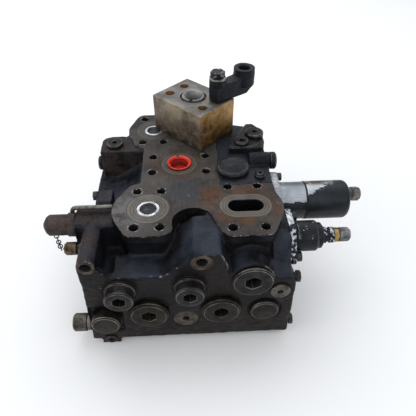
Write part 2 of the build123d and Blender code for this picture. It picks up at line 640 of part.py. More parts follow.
poppet_x = 63
with BuildPart() as relief_poppet:
    turned((poppet_x, relief_y, relief_z), (1, 0, 0),
           [(6, 1.5, 4.94), (12, 4.94, 4.94), (7, 1.5, 1.5)])
relief_poppet.part.label = "relief_poppet"

with BuildPart() as relief_spring:
    with BuildLine():
        coil = Helix(3.2, 21, 3.4, center=(poppet_x + 18.8, relief_y, relief_z),
                     direction=(1, 0, 0))
    with BuildSketch(Plane(coil @ 0, z_dir=coil % 0)):
        Circle(0.7)
    sweep(is_frenet=True)
relief_spring.part.label = "relief_spring"

# ---------------------------------------------------------------- ports
seat_z = deck_z - seat_depth
with BuildPart() as port_seats:
    for x, y in (left_port, rear_port):
        tube((x, y, seat_z), (0, 0, 1), seat_r - bore_gap, 8, seat_depth - 0.2)
port_seats.part.label = "port_seats"

poppet_top = seat_z - 0.1
with BuildPart() as front_poppet:
    rod((*left_port, poppet_top), (0, 0, -1), poppet_r, 12)
    rod((*left_port, poppet_top), (0, 0, 1), 7.9, 2.4)
    rod((*left_port, poppet_top - 12), (0, 0, 1), 6, 8, Mode.SUBTRACT)
front_poppet.part.label = "front_poppet"

with BuildPart() as rear_poppet:
    rod((*rear_port, poppet_top), (0, 0, -1), poppet_r, 12)
    rod((*rear_port, poppet_top), (0, 0, 1), 7.9, 2.4)
    rod((*rear_port, poppet_top - 12), (0, 0, 1), 6, 8, Mode.SUBTRACT)
rear_poppet.part.label = "rear_poppet"

pocket_floor = deck_z - pocket_depth
spring_length = poppet_top - 4 - pocket_floor - 2 * 0.8
with BuildPart() as front_poppet_spring:
    with BuildLine():
        coil = Helix(3.4, spring_length, 4.8, center=(*left_port, pocket_floor + 0.8))
    with BuildSketch(Plane(coil @ 0, z_dir=coil % 0)):
        Circle(0.7)
    sweep(is_frenet=True)
front_poppet_spring.part.label = "front_poppet_spring"

with BuildPart() as rear_poppet_spring:
    with BuildLine():
        coil = Helix(3.4, spring_length, 4.8, center=(*rear_port, pocket_floor + 0.8))
    with BuildSketch(Plane(coil @ 0, z_dir=coil % 0)):
        Circle(0.7)
    sweep(is_frenet=True)
rear_poppet_spring.part.label = "rear_poppet_spring"

with BuildPart() as red_port_plug:
    tube((*centre_port, deck_z + 0.1), (0, 0, 1), 13, 8, 2.2)
    tube((*centre_port, deck_z + 0.1), (0, 0, -1), 9.9, 8, 10)
    rod((*centre_port, deck_z - 9.9), (0, 0, 1), 8.5, 1.6)
red_port_plug.part.label = "red_port_plug"

# ---------------------------------------------------------------- adaptor block and arm
block_base = Plane((*block_port, deck_z), x_dir=block_turn, z_dir=(0, 0, 1))
block_top = block_base.offset(block_height)
bolt_u, bolt_v = block_bolt[0] / 2, block_bolt[1] / 2
arm_foot = block_top.origin + block_turn * bolt_u + block_across * bolt_v
arm_along = Vector(1, 0, 0).rotate(Axis.Z, arm_turn)
arm_side = Vector(0, -1, 0).rotate(Axis.Z, arm_turn)
arm_eye = arm_foot + arm_along * arm_reach
side_plug_at = block_top.origin + block_across * (block_width / 2) + block_turn * 24 \
    - Vector(0, 0, 13)

with BuildPart() as adaptor_block:
    with BuildSketch(block_base):
        Rectangle(block_length, block_width)
    extrude(amount=block_height)
    chamfer(adaptor_block.edges(), 0.8)
    with BuildSketch(block_top):
        Circle(15)
    extrude(amount=-3, mode=Mode.SUBTRACT)
    with BuildSketch(block_top):
        Circle(9)
    extrude(amount=-block_height, mode=Mode.SUBTRACT)
    for du, dv in corners(block_bolt):
        rod(block_top.origin + block_turn * du + block_across * dv, (0, 0, -1), 5.3,
            block_height, Mode.SUBTRACT)
    rod(side_plug_at, -block_across, 6, 8, Mode.SUBTRACT)
adaptor_block.part.label = "adaptor_block"

with BuildPart() as block_side_plug:
    turned(side_plug_at, block_across, [(4.5, 8.4, 8.4), (1.2, 8.4, 7)])
    rod(side_plug_at, -block_across, 6 - bore_gap, 7)
block_side_plug.part.label = "block_side_plug"

with BuildPart() as grey_port_plug:
    rod(block_top.origin + Vector(0, 0, -2.9), (0, 0, 1), 13, 4.4)
    rod(block_top.origin + Vector(0, 0, -2.9), (0, 0, -1), 8.9, 9)
    rod(block_top.origin + Vector(0, 0, 1.5), (0, 0, -1), 7, 9, Mode.SUBTRACT)
grey_port_plug.part.label = "grey_port_plug"

with BuildPart() as offset_arm:
    with BuildSketch(Plane(arm_foot - arm_side * arm_half, x_dir=arm_along, z_dir=arm_side)):
        with BuildLine():
            Polyline((-6.5, 0), (36.5, 0), (47, 9), (47, 24), (38, 26), (32, 21), (16, 19.6),
                     (6, 20.6), (-6.5, 23), close=True)
        make_face()
    extrude(amount=2 * arm_half)
    rod(arm_foot + Vector(0, 0, 18), (0, 0, 1), 9, arm_height - 18)
    rod(arm_eye + Vector(0, 0, eye_low), (0, 0, 1), 12.2, eye_high - eye_low)
    rod(arm_foot, (0, 0, 1), 5.3, arm_height, Mode.SUBTRACT)
    rod(arm_eye, (0, 0, 1), 5.9, eye_high, Mode.SUBTRACT)
    rod(arm_eye + Vector(0, 0, eye_high), (0, 0, -1), 7.4, 1, Mode.SUBTRACT)
offset_arm.part.label = "offset_arm"

arm_bolt_seat = arm_foot + Vector(0, 0, arm_height + 2.02)
with BuildPart() as arm_washer:
    tube(arm_bolt_seat - Vector(0, 0, 2), (0, 0, 1), 9, 5.1, 2)
arm_washer.part.label = "arm_washer"

with BuildPart() as arm_bolt:
    hexagon(arm_bolt_seat, (0, 0, 1), 14, 6.4)
    rod(arm_bolt_seat, (0, 0, -1), 4.95, arm_height + block_height + 2.02)
    rod(arm_bolt_seat, (0, 0, -1), tap_r - bore_gap, arm_height + block_height + 14)
arm_bolt.part.label = "arm_bolt"

parts = [valve_body, socket_plug_seals, socket_plugs, flange_plug_seals, flange_plugs,
         compensator_plug_seal, compensator_plug, gallery_plug, blank_plugs, foot_plug,
         left_cap_collar, left_end_cap, drain_pipe, upper_test_coupling, upper_dust_cap,
         cap_chain, lower_test_coupling, lower_dust_cap, rear_left_plugs,
         pilot_cover_gasket, pilot_cover, pilot_cover_plugs, round_cover, barrel_end_plug,
         deck_plug, side_bolts, spring_housing, housing_screws, housing_seal, spring_cap,
         end_fitting, end_nut, spool, inner_spring_seat, outer_spring_seat, spool_screw,
         spool_spring, relief_flange, relief_screws, relief_body, relief_ring,
         relief_collar, relief_lock_nut, relief_adjuster, relief_poppet, relief_spring,
         port_seats, front_poppet, rear_poppet, front_poppet_spring, rear_poppet_spring,
         red_port_plug, adaptor_block, block_side_plug, grey_port_plug, offset_arm,
         arm_washer, arm_bolt]
for piece in parts:
    export_step(piece.part, "parts/" + piece.part.label + ".step")
    print(piece.part.label, round(piece.part.volume / 1000, 2), len(piece.part.solids()))
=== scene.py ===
"""Looks for the hydraulic monoblock valve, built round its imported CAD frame, in metres."""
import json
import math

import bmesh
import bpy
from mathutils import Matrix, Vector


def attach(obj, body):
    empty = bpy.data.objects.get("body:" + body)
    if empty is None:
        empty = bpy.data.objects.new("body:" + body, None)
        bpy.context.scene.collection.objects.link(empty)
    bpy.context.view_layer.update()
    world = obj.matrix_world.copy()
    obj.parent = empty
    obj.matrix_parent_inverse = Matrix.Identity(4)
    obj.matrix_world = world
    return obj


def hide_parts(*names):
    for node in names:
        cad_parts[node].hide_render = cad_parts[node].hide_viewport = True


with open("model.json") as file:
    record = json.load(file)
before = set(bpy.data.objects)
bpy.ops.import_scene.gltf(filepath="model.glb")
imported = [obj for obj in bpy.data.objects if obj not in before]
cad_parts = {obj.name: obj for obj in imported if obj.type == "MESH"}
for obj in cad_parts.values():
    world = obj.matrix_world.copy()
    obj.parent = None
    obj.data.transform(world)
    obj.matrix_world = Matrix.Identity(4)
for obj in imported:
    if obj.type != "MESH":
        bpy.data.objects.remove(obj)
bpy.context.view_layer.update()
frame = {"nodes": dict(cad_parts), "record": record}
nodes = frame["nodes"]
scene = bpy.context.scene

MM = 0.001                  # mesh helpers take millimetres; shaders work in metres
DECK = 0.137                # machined deck, metres
FRONT = -0.118              # front face, metres
LEFT_PORT = (-47, -58)
RIGHT_PORT = (47, -58)
REAR_PORT = (-47, 81)
CENTRE_PORT = (-17, 12)
BLOCK_PORT = (1, 79)
ARCH = (-4.5, -79, 19.5)    # recess between the front ports: x, y and radius
DECK_MM, FRONT_MM = 137, -118
LEFT_MOUNT, CENTRE_MOUNT = (-99.8, 122.5), (1.9, 124.3)   # mounting holes: x and z
SPOT_FACE = (-14.7, 37.5)   # small spot face low on the front: x and z
UPPER_COUPLING = (-79, 107.5)    # y and z of the fittings along X
LOWER_COUPLING = (-106, 23)
RELIEF = (-72, 106)
ARM_FOOT = (27.375, 69.453)
ARM_REACH, ARM_TURN = 37, math.radians(32.5)
SMALL, LARGE, CENTRE = (23.8, 50.8), (30.2, 58.7), (57.15, 27.8)     # bolt patterns
PATTERNS = [(LEFT_PORT, SMALL), (RIGHT_PORT, LARGE), (REAR_PORT, SMALL), (CENTRE_PORT, CENTRE)]
ROUND_SEGMENTS = 64
SLOT_HALF, SLOT_R = 9, 8    # half of the long port's straight part and its end radius


def corners(pattern):
    return [(sx * pattern[0] / 2, sy * pattern[1] / 2) for sx, sy in
            ((-1, -1), (1, -1), (1, 1), (-1, 1))]


# ---------------------------------------------------------------- shader helper
class Shade:
    """Adds nodes to one material, with plain numbers or sockets as inputs."""

    def __init__(self, name, metallic=0.0, roughness=0.5, specular=0.5):
        self.mat = bpy.data.materials.new(name)
        self.mat.use_nodes = True
        self.tree = self.mat.node_tree
        self.tree.nodes.clear()
        out = self.tree.nodes.new("ShaderNodeOutputMaterial")
        self.bsdf = self.tree.nodes.new("ShaderNodeBsdfPrincipled")
        self.tree.links.new(self.bsdf.outputs[0], out.inputs[0])
        self.bsdf.inputs["Metallic"].default_value = metallic
        self.bsdf.inputs["Roughness"].default_value = roughness
        self.bsdf.inputs["Specular IOR Level"].default_value = specular
        self.place = self.add("ShaderNodeTexCoord").outputs["Object"]
        split = self.add("ShaderNodeSeparateXYZ")
        self.tree.links.new(self.place, split.inputs[0])
        self.x, self.y, self.z = split.outputs
        geometry = self.add("ShaderNodeNewGeometry")
        self.pointy = geometry.outputs["Pointiness"]
        normal = self.add("ShaderNodeSeparateXYZ")
        self.tree.links.new(self.add("ShaderNodeTexCoord").outputs["Normal"], normal.inputs[0])
        self.nx, self.ny, self.nz = normal.outputs

    def add(self, kind):
        return self.tree.nodes.new(kind)

    def put(self, value, socket):
        if isinstance(value, bpy.types.NodeSocket):
            self.tree.links.new(value, socket)
        elif isinstance(value, (tuple, list)) and len(value) == 3 and socket.type == "RGBA":
            socket.default_value = (*value, 1)
        else:
            socket.default_value = value

    def math(self, op, a, b=0.0, c=0.0):
        n = self.add("ShaderNodeMath")
        n.operation = op
        for i, v in enumerate((a, b, c)):
            self.put(v, n.inputs[i])
        return n.outputs[0]

    def noise(self, scale, detail=4, rough=0.55, warp=0.0, place=None):
        n = self.add("ShaderNodeTexNoise")
        self.put(place or self.place, n.inputs["Vector"])
        n.inputs["Scale"].default_value = scale
        n.inputs["Detail"].default_value = detail
        n.inputs["Roughness"].default_value = rough
        n.inputs["Distortion"].default_value = warp
        return n.outputs[0]

    def cells(self, scale):
        n = self.add("ShaderNodeTexVoronoi")
        self.put(self.place, n.inputs["Vector"])
        n.inputs["Scale"].default_value = scale
        return n.outputs["Distance"]

    def stretch(self, sx, sy, sz):
        n = self.add("ShaderNodeMapping")
        self.put(self.place, n.inputs["Vector"])
        n.inputs["Scale"].default_value = (sx, sy, sz)
        return n.outputs[0]

    def step(self, value, low, high):
        """Smooth rise from 0 to 1 as value goes from low to high."""
        n = self.add("ShaderNodeMapRange")
        n.interpolation_type = "SMOOTHSTEP"
        self.put(value, n.inputs["Value"])
        n.inputs["From Min"].default_value = min(low, high)
        n.inputs["From Max"].default_value = max(low, high)
        n.inputs["To Min"].default_value = 0 if high > low else 1
        n.inputs["To Max"].default_value = 1 if high > low else 0
        return n.outputs["Result"]

    def mix(self, share, a, b):
        n = self.add("ShaderNodeMix")
        n.data_type = "RGBA"
        self.put(share, n.inputs[0])
        self.put(a, n.inputs[6])
        self.put(b, n.inputs[7])
        return n.outputs[2]

    def blend(self, share, a, b):
        n = self.add("ShaderNodeMix")
        n.data_type = "FLOAT"
        self.put(share, n.inputs[0])
        self.put(a, n.inputs[2])
        self.put(b, n.inputs[3])
        return n.outputs[0]

    def both(self, a, b):
        return self.math("MULTIPLY", a, b)

    def most(self, a, b):
        return self.math("MAXIMUM", a, b)

    def spot(self, u, v, cu, cv):
        """Distance from (cu, cv) in the plane of the coordinates u and v, in metres."""
        du, dv = self.math("SUBTRACT", u, cu), self.math("SUBTRACT", v, cv)
        return self.math("SQRT", self.math("ADD", self.both(du, du), self.both(dv, dv)))

    def line(self, distance, at, half):
        """A soft line where distance is near at."""
        return self.step(self.math("ABSOLUTE", self.math("SUBTRACT", distance, at)), half, 0)

    def crevice(self, reach):
        n = self.add("ShaderNodeAmbientOcclusion")
        n.samples = 6
        n.inputs["Distance"].default_value = reach
        return self.step(n.outputs["AO"], 0.95, 0.25)

    def done(self, colour, rough=None, metal=None, heights=()):
        """Sets the shader's inputs. heights holds (height, depth in metres) pairs."""
        self.put(colour, self.bsdf.inputs["Base Color"])
        if rough is not None:
            self.put(rough, self.bsdf.inputs["Roughness"])
        if metal is not None:
            self.put(metal, self.bsdf.inputs["Metallic"])
        last = None
        for height, depth in heights:
            n = self.add("ShaderNodeBump")
            n.inputs["Strength"].default_value = 1.0
            n.inputs["Distance"].default_value = depth
            self.put(height, n.inputs["Height"])
            if last:
                self.put(last, n.inputs["Normal"])
            last = n.outputs[0]
        if last:
            self.put(last, self.bsdf.inputs["Normal"])
        return self.mat


# ---------------------------------------------------------------- materials
PAINT = (0.0042, 0.0044, 0.0055)
PAINT_WORN = (0.012, 0.0132, 0.0175)
DUST = (0.062, 0.045, 0.033)
OIL = (0.012, 0.009, 0.007)
BARE = (0.4, 0.39, 0.38)
RUST = (0.13, 0.048, 0.015)
BLUE_SHEEN = (0.8, 0.9, 1.0, 1)


def paint(name, dust=0.5, chips=0.5, gloss=0.34, chip_colour=BARE, edge_scale=1.0, patch=0.0,
          specular=0.22):
    """Black paint on metal, with dust on what faces up, grime in corners and chipped edges."""
    s = Shade(name, specular=specular)
    s.bsdf.inputs["Specular Tint"].default_value = BLUE_SHEEN
    broad = s.noise(38, 4, 0.6)
    fine = s.noise(420, 3, 0.6)
    colour = s.mix(s.step(broad, 0.35, 0.7), PAINT, PAINT_WORN)
    lie = s.both(s.step(s.nz, 0.1, 0.95), s.step(s.noise(70, 5, 0.65), 0.42, 0.74))
    grime = s.both(s.crevice(0.006), s.step(s.noise(120, 3), 0.3, 0.65))
    dusty = s.both(s.most(lie, grime), dust)
    colour = s.mix(dusty, colour, DUST)
    edge = s.both(s.step(s.pointy, 0.515, 0.56), s.step(s.noise(260, 4, 0.6), 0.5, 0.58))
    flake = s.both(s.step(s.noise(90, 6, 0.7, 0.4), 0.665, 0.69), s.step(broad, 0.4, 0.6))
    chip = s.both(s.most(s.both(edge, edge_scale), flake), chips)
    chip = s.step(chip, 0.25, 0.4)
    if patch:
        # Whole flakes of paint gone, down to the light metal.
        large = s.noise(58, 7, 0.62, 0.7)
        chip = s.most(chip, s.step(large, 0.62 - patch, 0.632 - patch))
    colour = s.mix(chip, colour, s.mix(s.step(fine, 0.45, 0.6), chip_colour,
                                       tuple(0.6 * c for c in chip_colour)))
    rough = s.blend(dusty, s.blend(s.step(fine, 0.3, 0.7), gloss, gloss + 0.16), 0.85)
    rough = s.blend(chip, rough, 0.42)
    return s.done(colour, rough, s.both(chip, 0.8),
                  [(broad, 0.0008), (fine, 0.00012), (chip, -0.00015)])


def port_distance(s, port):
    """Distance from a round port's centre."""
    return s.spot(s.x, s.y, port[0] * MM, port[1] * MM)


def slot_distance(s):
    """Distance from the long port's middle line."""
    dx = s.math("ABSOLUTE", s.math("SUBTRACT", s.x, RIGHT_PORT[0] * MM))
    dx = s.math("MAXIMUM", s.math("SUBTRACT", dx, SLOT_HALF * MM), 0)
    dy = s.math("SUBTRACT", s.y, RIGHT_PORT[1] * MM)
    return s.math("SQRT", s.math("ADD", s.both(dx, dx), s.both(dy, dy)))


def band(s, distance, inner, outer, soft=0.0006):
    """1 between two distances in millimetres."""
    return s.both(s.step(distance, inner * MM - soft, inner * MM),
                  s.step(distance, outer * MM + soft, outer * MM))


def deck_iron(s, tone, mid):
    """Machined iron: dark and oily, lighter where a flange sat, rusty between the ports."""
    iron = s.mix(s.step(tone, 0.34, 0.66), (0.034, 0.028, 0.024), (0.082, 0.074, 0.067))
    iron = s.mix(s.both(s.step(mid, 0.5, 0.68), 0.5), iron, (0.024, 0.019, 0.016))
    blue = s.both(s.step(s.spot(s.x, s.y, -0.01, -0.034), 0.026, 0.012), s.step(tone, 0.36, 0.5))
    iron = s.mix(s.both(blue, 0.8), iron, (0.04, 0.043, 0.05))
    left_side = s.step(s.spot(s.x, s.y, -0.064, -0.06), 0.034, 0.012)
    iron = s.mix(s.both(left_side, s.both(s.step(mid, 0.36, 0.6), 0.8)), iron, (0.15, 0.145, 0.142))
    grind = s.noise(1, 3, 0.5, 0, s.stretch(900, 60, 60))
    iron = s.mix(s.both(s.step(grind, 0.45, 0.75), 0.16), iron, (0.15, 0.14, 0.13))
    # Rust beside the long port, between the ports and round the middle one.
    long_port = slot_distance(s)
    stain = s.most(s.step(s.spot(s.x, s.y, 0.017, -0.043), 0.022, 0.006),
                   s.both(band(s, long_port, 17, 25, 0.004), 0.62))
    stain = s.most(stain, s.both(s.step(s.spot(s.x, s.y, 0.055, -0.03), 0.02, 0.008), 0.6))
    stain = s.most(stain, s.both(band(s, port_distance(s, CENTRE_PORT), 20, 28, 0.004), 0.34))
    stain = s.both(stain, s.step(s.noise(52, 6, 0.66, 0.6), 0.36, 0.6))
    rusty = s.mix(s.step(mid, 0.4, 0.62), RUST, (0.05, 0.024, 0.012))
    iron = s.mix(s.both(stain, 0.9), iron, rusty)
    # Where flanges and seals sat.
    ring = None
    for distance, inner, outer, shade in (
            (port_distance(s, LEFT_PORT), 11, 20.5, (0.17, 0.155, 0.138)),
            (port_distance(s, REAR_PORT), 11, 20.5, (0.12, 0.11, 0.1)),
            (port_distance(s, CENTRE_PORT), 10, 19.5, (0.125, 0.108, 0.09)),
            (long_port, 7.9, 16.6, (0.165, 0.145, 0.122))):
        zone = s.both(band(s, distance, inner, outer), s.blend(s.step(mid, 0.3, 0.62), 0.55, 0.95))
        dull = tuple(0.7 * c for c in shade)
        iron = s.mix(zone, iron, s.mix(s.step(tone, 0.3, 0.7), dull, shade))
        width = outer - inner
        for share in (0.3, 0.62, 1.0):
            mark = s.line(distance, (inner + share * width) * MM, 0.00065)
            iron = s.mix(s.both(mark, 0.55), iron, (0.05, 0.038, 0.028) if share < 1 else OIL)
            ring = mark if ring is None else s.most(ring, mark)
    # Bright worn mouths of the bolt holes, partly a painted highlight of their threads.
    worn_mouth_and_highlight = None
    for port, pattern in PATTERNS:
        for dx, dy in corners(pattern):
            d = s.spot(s.x, s.y, (port[0] + dx) * MM, (port[1] + dy) * MM)
            one = s.step(d, 0.0062, 0.005)
            worn_mouth_and_highlight = one if worn_mouth_and_highlight is None else s.most(worn_mouth_and_highlight, one)
    worn_mouth_and_highlight = s.both(worn_mouth_and_highlight, s.step(s.noise(190, 4, 0.65), 0.5, 0.6))
    iron = s.mix(s.both(worn_mouth_and_highlight, 0.85), iron, (0.34, 0.33, 0.31))
    specks = s.step(s.noise(330, 3, 0.6), 0.69, 0.74)
    return s.mix(s.both(specks, 0.5), iron, (0.3, 0.28, 0.26)), ring


def body_paint():
    """The casting: black paint all over, bare machined deck, spot faces and hole walls."""
    s = Shade("casting_paint", specular=0.12)
    s.bsdf.inputs["Specular Tint"].default_value = BLUE_SHEEN
    broad = s.noise(30, 4, 0.6)
    mid = s.noise(95, 5, 0.65)
    fine = s.noise(520, 3, 0.6)
    pits = s.cells(260)
    colour = s.mix(s.step(broad, 0.38, 0.68), PAINT, PAINT_WORN)
    up = s.step(s.nz, 0.15, 0.9)
    # Painted sheen: upward slopes get a cold blue grey colour in place of the sky's reflection.
    slope = s.both(s.step(s.nz, 0.25, 0.6), s.step(s.noise(24, 4, 0.6), 0.38, 0.6))
    colour = s.mix(s.both(slope, 0.75), colour, (0.03, 0.036, 0.052))
    front = s.both(s.step(s.ny, -0.6, -0.9), s.step(s.y, -0.112, -0.116))
    smear = s.step(s.noise(16, 5, 0.7, 0.6), 0.46, 0.64)
    colour = s.mix(s.both(front, s.blend(smear, 0.35, 0.9)), colour, (0.013, 0.0085, 0.006))
    low_front = s.both(front, s.both(s.step(s.z, 0.075, 0.03), s.step(mid, 0.4, 0.62)))
    colour = s.mix(s.both(low_front, 0.6), colour, (0.03, 0.02, 0.014))
    lie = s.both(up, s.step(mid, 0.48, 0.74))
    grime = s.both(s.crevice(0.012), s.step(mid, 0.35, 0.6))
    dusty = s.most(s.both(lie, 0.4), s.both(grime, 0.4))
    # The rear-left block and the left housing carry thick brown dust.
    rear_left = s.both(s.step(s.x, -0.055, -0.06), s.step(s.y, 0.037, 0.044))
    housing = s.both(s.step(s.x, -0.074, -0.08), s.both(s.step(s.z, 0.116, 0.127), up))
    caked = s.both(s.most(rear_left, s.both(housing, 0.9)), s.step(s.noise(60, 6, 0.72), 0.36, 0.6))
    dusty = s.most(dusty, s.both(caked, 0.85))
    colour = s.mix(dusty, colour, s.mix(s.step(fine, 0.4, 0.6), DUST, (0.034, 0.024, 0.02)))
    # Chipped paint on edges and along the top of the front face.
    level = s.both(s.step(s.z, DECK - 0.0004, DECK - 0.0001),
                   s.step(s.z, DECK + 0.0004, DECK + 0.0001))
    edge = s.both(s.step(s.pointy, 0.54, 0.61), s.step(s.noise(170, 5, 0.65), 0.54, 0.6))
    edge = s.both(edge, s.step(s.z, 0.1364, 0.136))
    rim = s.both(s.line(s.y, FRONT + 0.001, 0.004), s.step(s.pointy, 0.515, 0.55))
    rim = s.both(rim, s.both(s.step(s.noise(80, 4, 0.6), 0.5, 0.58), s.step(s.z, 0.08, 0.1)))
    under_rim = s.both(s.both(s.step(s.z, DECK - 0.0016, DECK - 0.0006),
                              s.step(s.z, DECK - 0.0001, DECK - 0.0003)),
                       s.step(s.noise(230, 3, 0.6), 0.5, 0.56))
    clear = s.both(s.step(slot_distance(s), 0.01, 0.012),
                   s.step(s.spot(s.x, s.y, ARCH[0] * MM, ARCH[1] * MM), 0.021, 0.023))
    under_rim = s.both(under_rim, s.both(clear, s.step(s.x, 0.072, 0.066)))
    chip = s.most(s.most(s.both(edge, 0.6), s.both(rim, 0.7)), under_rim)
    bare = s.mix(s.step(fine, 0.42, 0.6), BARE, (0.16, 0.11, 0.08))
    colour = s.mix(chip, colour, bare)
    rough = s.blend(dusty, s.blend(s.step(fine, 0.3, 0.7), 0.32, 0.48), 0.85)
    rough = s.blend(chip, rough, 0.4)
    metal = s.both(chip, 0.8)

    # Machined deck. Right of it the casting stays painted under the round cover.
    wander = s.both(s.math("SUBTRACT", mid, 0.5), 0.006)
    painted = s.both(s.step(s.math("ADD", s.x, wander), 0.0248, 0.0256),
                     s.step(s.math("ADD", s.y, wander), -0.0262, -0.0252))
    deck = s.both(s.both(level, s.step(s.nz, 0.9, 0.97)), s.math("SUBTRACT", 1.0, painted))
    tone = s.noise(22, 5, 0.6, 0.4)
    iron, ring = deck_iron(s, tone, mid)
    # Bare spots round the mounting holes and the small spot face.
    spot = None
    for cx, cz, r in ((*LEFT_MOUNT, 8.6), (*CENTRE_MOUNT, 10.5), (*SPOT_FACE, 13.2)):
        d = s.spot(s.x, s.z, cx * MM, cz * MM)
        one = s.step(s.math("ADD", d, s.both(s.math("SUBTRACT", mid, 0.5), 0.004)),
                     r * MM, (r - 0.8) * MM)
        spot = one if spot is None else s.most(spot, one)
    spot = s.both(s.both(spot, s.step(s.y, FRONT + 0.004, FRONT + 0.002)), s.step(s.ny, -0.5, -0.8))
    spot_iron = s.mix(s.step(mid, 0.35, 0.65), (0.035, 0.025, 0.018), (0.12, 0.1, 0.08))
    colour = s.mix(spot, s.mix(deck, colour, iron), spot_iron)
    open_metal = s.most(deck, spot)
    # Painted shade with oil: dark where an occlusion mask finds the hole walls just under the deck.
    colour = s.mix(s.both(s.crevice(0.01), s.both(deck, 0.4)), colour, OIL)
    rough = s.blend(open_metal, rough, s.blend(s.step(tone, 0.3, 0.7), 0.48, 0.64))
    metal = s.blend(open_metal, metal, 0.3)
    keep = s.math("SUBTRACT", 1.0, open_metal)
    return s.done(colour, rough, metal,
                  [(s.both(broad, keep), 0.0012), (s.both(mid, keep), 0.0007),
                   (s.both(pits, keep), 0.0002), (fine, 0.00008),
                   (s.both(ring, deck), -0.0002)])


def steel(name, dark, light, rough=0.4, shade_and_dirt_amount=0.6, metal=0.9, scale=1.0, rust=0.0,
          shade_and_dirt_colour=(0.014, 0.011, 0.009), specular=0.4):
    """Turned or drawn steel with tone changes, fine scratches, dirt patches and painted shade in
    its corners.
    """
    s = Shade(name, metallic=metal, specular=specular)
    tone = s.noise(90 * scale, 5, 0.65)
    fine = s.noise(900, 2, 0.5)
    colour = s.mix(s.step(tone, 0.33, 0.68), dark, light)
    if rust:
        patch = s.both(s.step(s.noise(140 * scale, 6, 0.7, 0.5), 0.52, 0.66), rust)
        colour = s.mix(patch, colour, RUST)
    # Painted shade: corners found by an occlusion mask turn dark, along with dirt patches from
    # noise.
    shade_and_dirt = s.both(s.most(s.crevice(0.004), s.step(s.noise(210, 4, 0.6), 0.58, 0.72)), shade_and_dirt_amount)
    colour = s.mix(shade_and_dirt, colour, shade_and_dirt_colour)
    r = s.blend(s.step(fine, 0.3, 0.7), rough - 0.06, rough + 0.1)
    return s.done(colour, s.blend(shade_and_dirt, r, 0.75), s.blend(shade_and_dirt, metal, 0.1),
                  [(tone, 0.0002), (fine, 0.00003)])


def half_bare(name, centre_y, centre_z, radius, edge_at, slope_from, slope, rust_band):
    """Black finish worn down to bright aluminium on the side of a cylinder that faces up."""
    s = Shade(name, specular=0.3)
    s.bsdf.inputs["Specular Tint"].default_value = BLUE_SHEEN
    up_y, up_z = 0.6, 0.8
    t = s.math("ADD", s.both(s.math("SUBTRACT", s.y, centre_y), up_y / radius),
               s.both(s.math("SUBTRACT", s.z, centre_z), up_z / radius))
    rise = s.both(s.math("MAXIMUM", s.math("SUBTRACT", s.x, slope_from), 0), slope)
    ragged = s.both(s.math("SUBTRACT", s.noise(75, 8, 0.78, 0.9), 0.5), 1.0)
    line = s.math("ADD", s.math("SUBTRACT", t, rise), ragged)
    bare = s.step(line, edge_at, edge_at + 0.02)
    fine = s.noise(700, 3, 0.6)
    left_on = s.both(s.step(s.noise(170, 6, 0.72, 0.5), 0.63, 0.645),
                     s.step(line, edge_at + 0.4, edge_at + 0.1))
    specks = s.both(s.step(s.noise(200, 5, 0.65), 0.7, 0.715), s.step(t, -0.9, -0.2))
    bare = s.most(s.both(bare, s.math("SUBTRACT", 1.0, left_on)), specks)
    black = s.mix(s.step(s.noise(45, 4, 0.6), 0.4, 0.65), (0.006, 0.0064, 0.008),
                  (0.02, 0.022, 0.028))
    low = s.both(s.step(t, -0.2, -0.9), s.step(s.noise(60, 4), 0.4, 0.6))
    black = s.mix(s.both(low, 0.5), black, (0.04, 0.031, 0.024))
    metal_tone = s.mix(s.step(s.noise(50, 5, 0.6), 0.35, 0.7), (0.3, 0.32, 0.345),
                       (0.46, 0.49, 0.53))
    scratches = s.step(s.noise(1, 4, 0.6, 0, s.stretch(60, 700, 700)), 0.55, 0.7)
    metal_tone = s.mix(s.both(scratches, 0.4), metal_tone, (0.2, 0.2, 0.21))
    top = s.both(s.step(t, 0.74, 0.93), s.step(s.noise(90, 5, 0.7), 0.36, 0.52))
    metal_tone = s.mix(s.both(top, rust_band), metal_tone, (0.13, 0.085, 0.055))
    # Painted shade: corners found by an occlusion mask go dark as oil.
    shade_and_dirt = s.both(s.crevice(0.005), 0.7)
    colour = s.mix(shade_and_dirt, s.mix(bare, black, metal_tone), OIL)
    rough = s.blend(bare, s.blend(s.step(fine, 0.3, 0.7), 0.3, 0.44), 0.4)
    return s.done(colour, rough, s.both(bare, 0.9),
                  [(bare, -0.0002), (fine, 0.00004), (s.noise(60, 3), 0.0004)])


